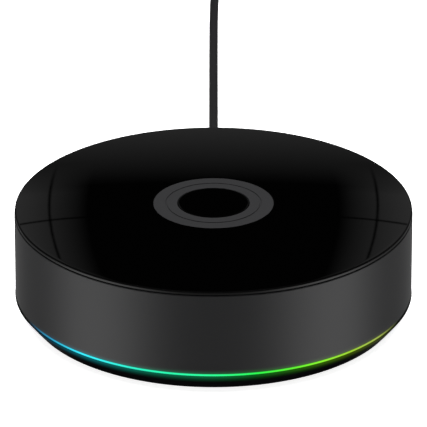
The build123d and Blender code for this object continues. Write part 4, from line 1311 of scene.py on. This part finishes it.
def superellipse(power):
    """Unit outline x = sgn(cos a)|cos a|^(2/n), z = sgn(sin a)|sin a|^(2/n)."""
    angle = np.linspace(0.0, 2 * math.pi, SECTION_POINTS, endpoint=False)
    cosine, sine = np.cos(angle), np.sin(angle)
    across = np.sign(cosine) * np.abs(cosine) ** (2 / power)
    upright = np.sign(sine) * np.abs(sine) ** (2 / power)
    return np.column_stack([across, upright])


def grip_sections(size, power, edge, grooves, groove_span):
    """Stations s along the grip, with the scale of its section there: a quarter ellipse at each
    end, and 1 between, less a row of smooth dips 1 + cos over the groove span."""
    width, height, length = size
    ends = edge * (1 - np.cos(np.linspace(0.0, math.pi / 2, 8)))
    middle = np.linspace(edge, length - edge, GRIP_STATIONS)[1:-1]
    along = np.concatenate([ends, middle, length - ends[::-1]])
    near = np.clip(np.minimum(along, length - along) / edge, 0.0, 1.0)
    inset = edge * (1 - np.sqrt(1 - (1 - near) ** 2))
    low, high = groove_span[0] * length, groove_span[1] * length
    phase = (along - low) / (high - low) * grooves
    inside = (phase > 0) & (phase < grooves)
    dip = np.where(inside, (1 - np.cos(2 * math.pi * phase)) / 2 * GRIP_DEEP, 0.0)
    half_x = width / 2 - inset - dip * SIDE_DEEP
    half_z = height / 2 - inset - dip
    outline = superellipse(power)
    sections = np.empty((len(along), SECTION_POINTS, 3))
    sections[..., 0] = outline[None, :, 0] * half_x[:, None]
    sections[..., 1] = along[:, None]
    sections[..., 2] = outline[None, :, 1] * half_z[:, None]
    return sections


def relief_outline(length, wide, narrow, ribs):
    """The relief's radius along its length: a straight taper less a dip between ribs, where the
    dip is a smoothed square wave."""
    along = np.linspace(0.0, length, 6 + RIB_POINTS * ribs)
    taper = wide + (narrow - wide) * along / length
    wave = np.cos(2 * math.pi * (along / length * ribs - RIB_SHIFT))
    cut = np.clip(0.5 - RIB_SQUARE * wave, 0.0, 1.0)
    cut = cut * (1 - np.clip(along / length * RIB_FADE[0], 0, 1) * RIB_FADE[1])
    cut[-PLAIN_POINTS:] = 0.0
    radius = np.maximum(taper - RIB_DEEP * cut, CORD_D / MM / 2 + JACKET_GAP)
    return along, radius


def relief(length, wide, narrow, ribs=6, around=48):
    """A ribbed, tapered sleeve turned about the Y axis, from y = 0 to its length."""
    along, radius = relief_outline(length, wide, narrow, ribs)
    angle = np.linspace(0.0, 2 * math.pi, around, endpoint=False)
    sections = np.empty((len(along), around, 3))
    sections[..., 0] = radius[:, None] * np.cos(angle)
    sections[..., 1] = along[:, None]
    sections[..., 2] = radius[:, None] * np.sin(angle)
    return sections


INLET_HEIGHT = CORD_ROUTE[0][2]
PLUG_Y = span("power_plug", 1)[0] / MM
PLUG_L = span("power_plug", 1)[1] / MM - PLUG_Y
plug = grip_sections((*GRIP_SIZE, PLUG_L), GRIP_POWER, GRIP_EDGE, GRIP_GROOVES, GRIP_SPAN)
plug += np.array([0.0, PLUG_Y, INLET_HEIGHT])
piece("power_plug_grip", [with_ends(plug)], "power_plug", "plug_plastic", sharp=50)

near_relief = relief(span("strain_relief", 1)[1] / MM - PLUG_Y - PLUG_L, *RELIEF_SIZE)
near_relief += np.array([0.0, PLUG_Y + PLUG_L, INLET_HEIGHT])
near_parts = [with_ends(near_relief)]
plug_relief = piece("plug_relief", near_parts, "strain_relief", "cord_rubber", sharp=60)


def turned_to_minus_x(sections, start):
    """Sections along +Y laid along -X instead, from a start point: (x, y, z) -> (-y, x, z)."""
    laid = np.stack([-sections[..., 1], sections[..., 0], sections[..., 2]], axis=-1)
    return laid + np.array(start)


USB_START = TAIL_ROUTE[-1]
USB_RELIEF_L = (span("usb_relief", 0)[1] - span("usb_relief", 0)[0]) / MM
USB_BODY_L = (span("usb_body", 0)[1] - span("usb_body", 0)[0]) / MM
far_sections = relief(USB_RELIEF_L, *RELIEF_SIZE, 5)[::-1] * np.array([1.0, -1.0, 1.0])
far_sections += np.array([0.0, USB_RELIEF_L, 0.0])
far_parts = [with_ends(turned_to_minus_x(far_sections, USB_START))]
far_relief = piece("far_relief", far_parts, "usb_relief", "cord_rubber", sharp=60)

far_size = (*FAR_GRIP_SIZE, USB_BODY_L)
far_grip = grip_sections(far_size, FAR_GRIP_POWER, FAR_GRIP_EDGE, GRIP_GROOVES, FAR_GRIP_SPAN)
body_start = (USB_START[0] - USB_RELIEF_L, USB_START[1], USB_START[2])
grip_parts = [with_ends(turned_to_minus_x(far_grip, body_start))]
usb_grip = piece("far_plug_grip", grip_parts, "usb_body", "plug_plastic", sharp=50)

# %% [markdown]
# ## Cord tie
# A strap of hook-and-loop tape closed round the coil. It is a flat band carried round a rounded
# rectangle; the band's free end overlaps its start by a few millimetres, so the outline is a
# spiral of a little more than one turn, a tape's thickness further out at its end.

# %% Tie
TIE_T = 0.55
TIE_STEPS = 200
TIE_TURNS = 1.12
TIE_FROM = 0.36 * math.pi
TIE_POWER = 5.0
OVERLAP_FROM = 0.94
TIE_GROWTH = TIE_T * 0.55
TIE_BAND = TIE_T * 0.5
# The band's edge, each point as its share of the thickness and of half the width.
TIE_EDGE = ((0, -1), (0.5, -1), (1, -0.93), (1, 0.93), (0.5, 1), (0, 1), (0, 0))


def tie_sections():
    """The path is a superellipse round the coil's section, swept through a little more than a
    turn while it grows by about a thickness; each station's section is the band's edge."""
    low_x, high_x = (value / MM for value in span("cord_tie", 0))
    low_z, high_z = (value / MM for value in span("cord_tie", 2))
    mid_y = sum(span("cord_tie", 1)) / 2 / MM
    half_y = (span("cord_tie", 1)[1] - span("cord_tie", 1)[0]) / 2 / MM
    centre = np.array([(low_x + high_x) / 2, (low_z + high_z) / 2])
    half = np.array([(high_x - low_x) / 2, (high_z - low_z) / 2])
    turned_by = np.linspace(0.0, 2 * math.pi * TIE_TURNS, TIE_STEPS)
    turn = turned_by + TIE_FROM
    direction = np.column_stack([np.cos(turn), np.sin(turn)])
    reach = (np.abs(direction / half) ** TIE_POWER).sum(axis=1) ** (-1 / TIE_POWER)
    share = (turned_by / (2 * math.pi) - OVERLAP_FROM) / (1 - OVERLAP_FROM)
    over = np.clip(share, 0.0, 1.0)
    outer = reach - TIE_GROWTH * (1 - over)
    inner = outer - TIE_BAND
    edge = np.array(TIE_EDGE, float)
    radius = inner[:, None] + (outer - inner)[:, None] * edge[None, :, 0]
    flat = centre + direction[:, None, :] * radius[..., None]
    ys = mid_y + half_y * np.broadcast_to(edge[None, :, 1], radius.shape)
    return np.stack([flat[..., 0], ys, flat[..., 1]], axis=-1)


tie_parts = [with_ends(tie_sections())]
woven_tie = piece("woven_tie", tie_parts, "cord_tie", "tie_fabric", sharp=50)

# %% [markdown]
# ## Finishes for the CAD parts that stay
# The rest of the inside keeps its CAD mesh. Each node takes the finish of its slot in the record.

# %% Dress the CAD nodes
for node_name, slot_name in SLOT_OF.items():
    materials = NODES[node_name].data.materials
    materials.clear()
    materials.append(FINISHES[slot_name].material)
power_lead.data.materials.append(FINISHES["cord_rubber"].material)
print("dressed", len(SLOT_OF), "CAD nodes")

# %% [markdown]
# ## Floor and studio light
# The floor is a pale sheet that glows a little, so it stays plain right up to the foot. One
# large soft panel overhead lights everything evenly. Neither is mirrored: a mirrored white floor
# would wash out the wall. What the player mirrors is the room, drawn as the world's colours. Two
# broad strips low down, left and right, give the wall its soft upright bands, and a dark far
# side with pale window panes, a bar and a rail shows on the gloss top.

# %% Studio levels
# Levels are strengths; angles are degrees up from level, round from the front, or to a side.
OVERHEAD_WATTS = 150.0
OVERHEAD_UP = 2.5
OVERHEAD_SIZE = (3.0, 3.0)
FLOOR_GLOW = 1.0
BACKDROP_LEVEL = 1.2
ROOM_LEVEL = 0.0003
CEILING_LEVEL = 0.06
HORIZON_LEVEL = 0.12
PANE_LEVEL = 0.17
PANE_SIDE = (4.0, 24.0)
PANE_SIDE_SOFT = (1.7, 10.0)
PANE_UP = (22.2, 36.0)
PANE_UP_SOFT = (2.4, 8.0)
BOW = 0.016
BOW_UP = 26.5
BAR_SIDE = 4.1
BAR_HALF = 0.06
RAIL_UP = 25.47
RAIL_TILT = 0.13
RAIL_BOW = 0.08
RAIL_HALF = 0.11
HORIZON_UP = (9.0, 20.4)
HORIZON_SOFT = (6.0, 5.0)
CEILING_UP = 52.0
CEILING_SOFT = 16.0
STRIP_SIDE = (42.0, 94.0)
STRIP_SOFT = (32.0, 16.0)
BACK_SIDE = 150.0
BACK_SOFT = 20.0
STRIP_LEVEL = 1.49
SIDE_LEVEL = 0.02
BACK_LEVEL = 0.16
FRONT_LEVEL = 0.22
LOW_UP = (-48.0, 4.0)
LOW_SOFT = (16.0, 12.0)
FAR_SIDE = 120.0
FAR_SOFT = 30.0
FAR_LESS = 14.0
DEGREES = 180 / math.pi

# %% Floor
FLOOR_HALF = 12.0
FLOOR_FINISH = Finish("floor_sheet")
floor_tone = FLOOR_FINISH.noise(0.4, 3.0)
floor_paint = FLOOR_FINISH.mix(floor_tone, (0.88, 0.88, 0.88, 1.0), (0.9, 0.9, 0.9, 1.0))
FLOOR_FINISH.surface(Base_Color=floor_paint, Roughness=0.9, Specular_IOR_Level=0.0)
FLOOR_FINISH.surface(Emission_Color=floor_paint, Emission_Strength=FLOOR_GLOW)
floor_mesh = bpy.data.meshes.new("floor")
edge = np.array([[-1, -1, 0], [1, -1, 0], [1, 1, 0], [-1, 1, 0]]) * FLOOR_HALF
floor_mesh.from_pydata(edge.tolist(), [], [(0, 1, 2, 3)])
floor_mesh.materials.append(FLOOR_FINISH.material)
floor = bpy.data.objects.new("floor", floor_mesh)
bpy.context.scene.collection.objects.link(floor)


# %% Area lights
def soft_panel(name, place, target, size, watts):
    """A rectangular light at a place, facing a target."""
    light = bpy.data.lights.new(name, "AREA")
    light.shape = "RECTANGLE"
    light.size, light.size_y = size
    light.energy = watts
    light.spread = math.pi
    panel = bpy.data.objects.new(name, light)
    panel.location = place
    facing = Vector(target) - Vector(place)
    panel.rotation_euler = facing.to_track_quat("-Z", "Y").to_euler()
    bpy.context.scene.collection.objects.link(panel)
    return panel


above_middle = (0.0, 0.0, OVERHEAD_UP)
overhead = soft_panel("overhead", above_middle, (0.0, 0.0, 0.0), OVERHEAD_SIZE, OVERHEAD_WATTS)
overhead.visible_glossy = False
floor.visible_glossy = False

# %% World
world = bpy.data.worlds.new("studio")
bpy.context.scene.world = world
world.use_nodes = True


class Sky(Finish):
    """The world's nodes, built in the same way as a finish."""

    def __init__(self, made):
        self.tree = made.node_tree
        self.shader = self.tree.nodes["Background"]
        self.place = self.node("ShaderNodeTexCoord", {}, {}, "Generated")


sky = Sky(world)
east, north, up = sky.axes()
level = (1.0 - up * up) ** 0.5
elevation = up.maths("ARCSINE") * DEGREES
round_front = abs(east).maths("ARCTAN2", north * -1.0) * DEGREES
sideways = (abs(east).maths("MINIMUM", abs(north)) / level).maths("ARCSINE") * DEGREES
leaning = sideways + (elevation - BOW_UP) ** 2.0 * BOW
pane = leaning.between(PANE_SIDE, PANE_SIDE_SOFT) * elevation.between(PANE_UP, PANE_UP_SOFT)
bar = (abs(leaning - BAR_SIDE) / BAR_HALF).clamped()
past_bar = sideways - BAR_SIDE
rail_up = past_bar * RAIL_TILT + past_bar**2.0 * RAIL_BOW + RAIL_UP
rail = (abs(elevation - rail_up) / RAIL_HALF).clamped()
panes = pane * bar * rail * PANE_LEVEL
horizon = elevation.between(HORIZON_UP, HORIZON_SOFT) * HORIZON_LEVEL
ceiling = elevation.above(CEILING_UP, CEILING_SOFT) * CEILING_LEVEL
far = round_front.above(FAR_SIDE, FAR_SOFT) * FAR_LESS
low = elevation.between((far + LOW_UP[0], LOW_UP[1] - far), LOW_SOFT)
strips = round_front.between(STRIP_SIDE, STRIP_SOFT) * STRIP_LEVEL
sides = round_front.above(STRIP_SIDE[1], STRIP_SOFT[1]) * SIDE_LEVEL
back = round_front.above(BACK_SIDE, BACK_SOFT) * BACK_LEVEL
room = panes + horizon + ceiling + low * (strips + sides + back + FRONT_LEVEL)
seen = sky.node("ShaderNodeLightPath", {}, {}, "Is Camera Ray")
sky.feed(sky.shader.inputs["Color"], (1.0, 1.0, 1.0, 1.0))
sky.feed(sky.shader.inputs["Strength"], room + seen * BACKDROP_LEVEL + ROOM_LEVEL)
print("lights and world ready")

# %% Close
bpy.context.view_layer.update()
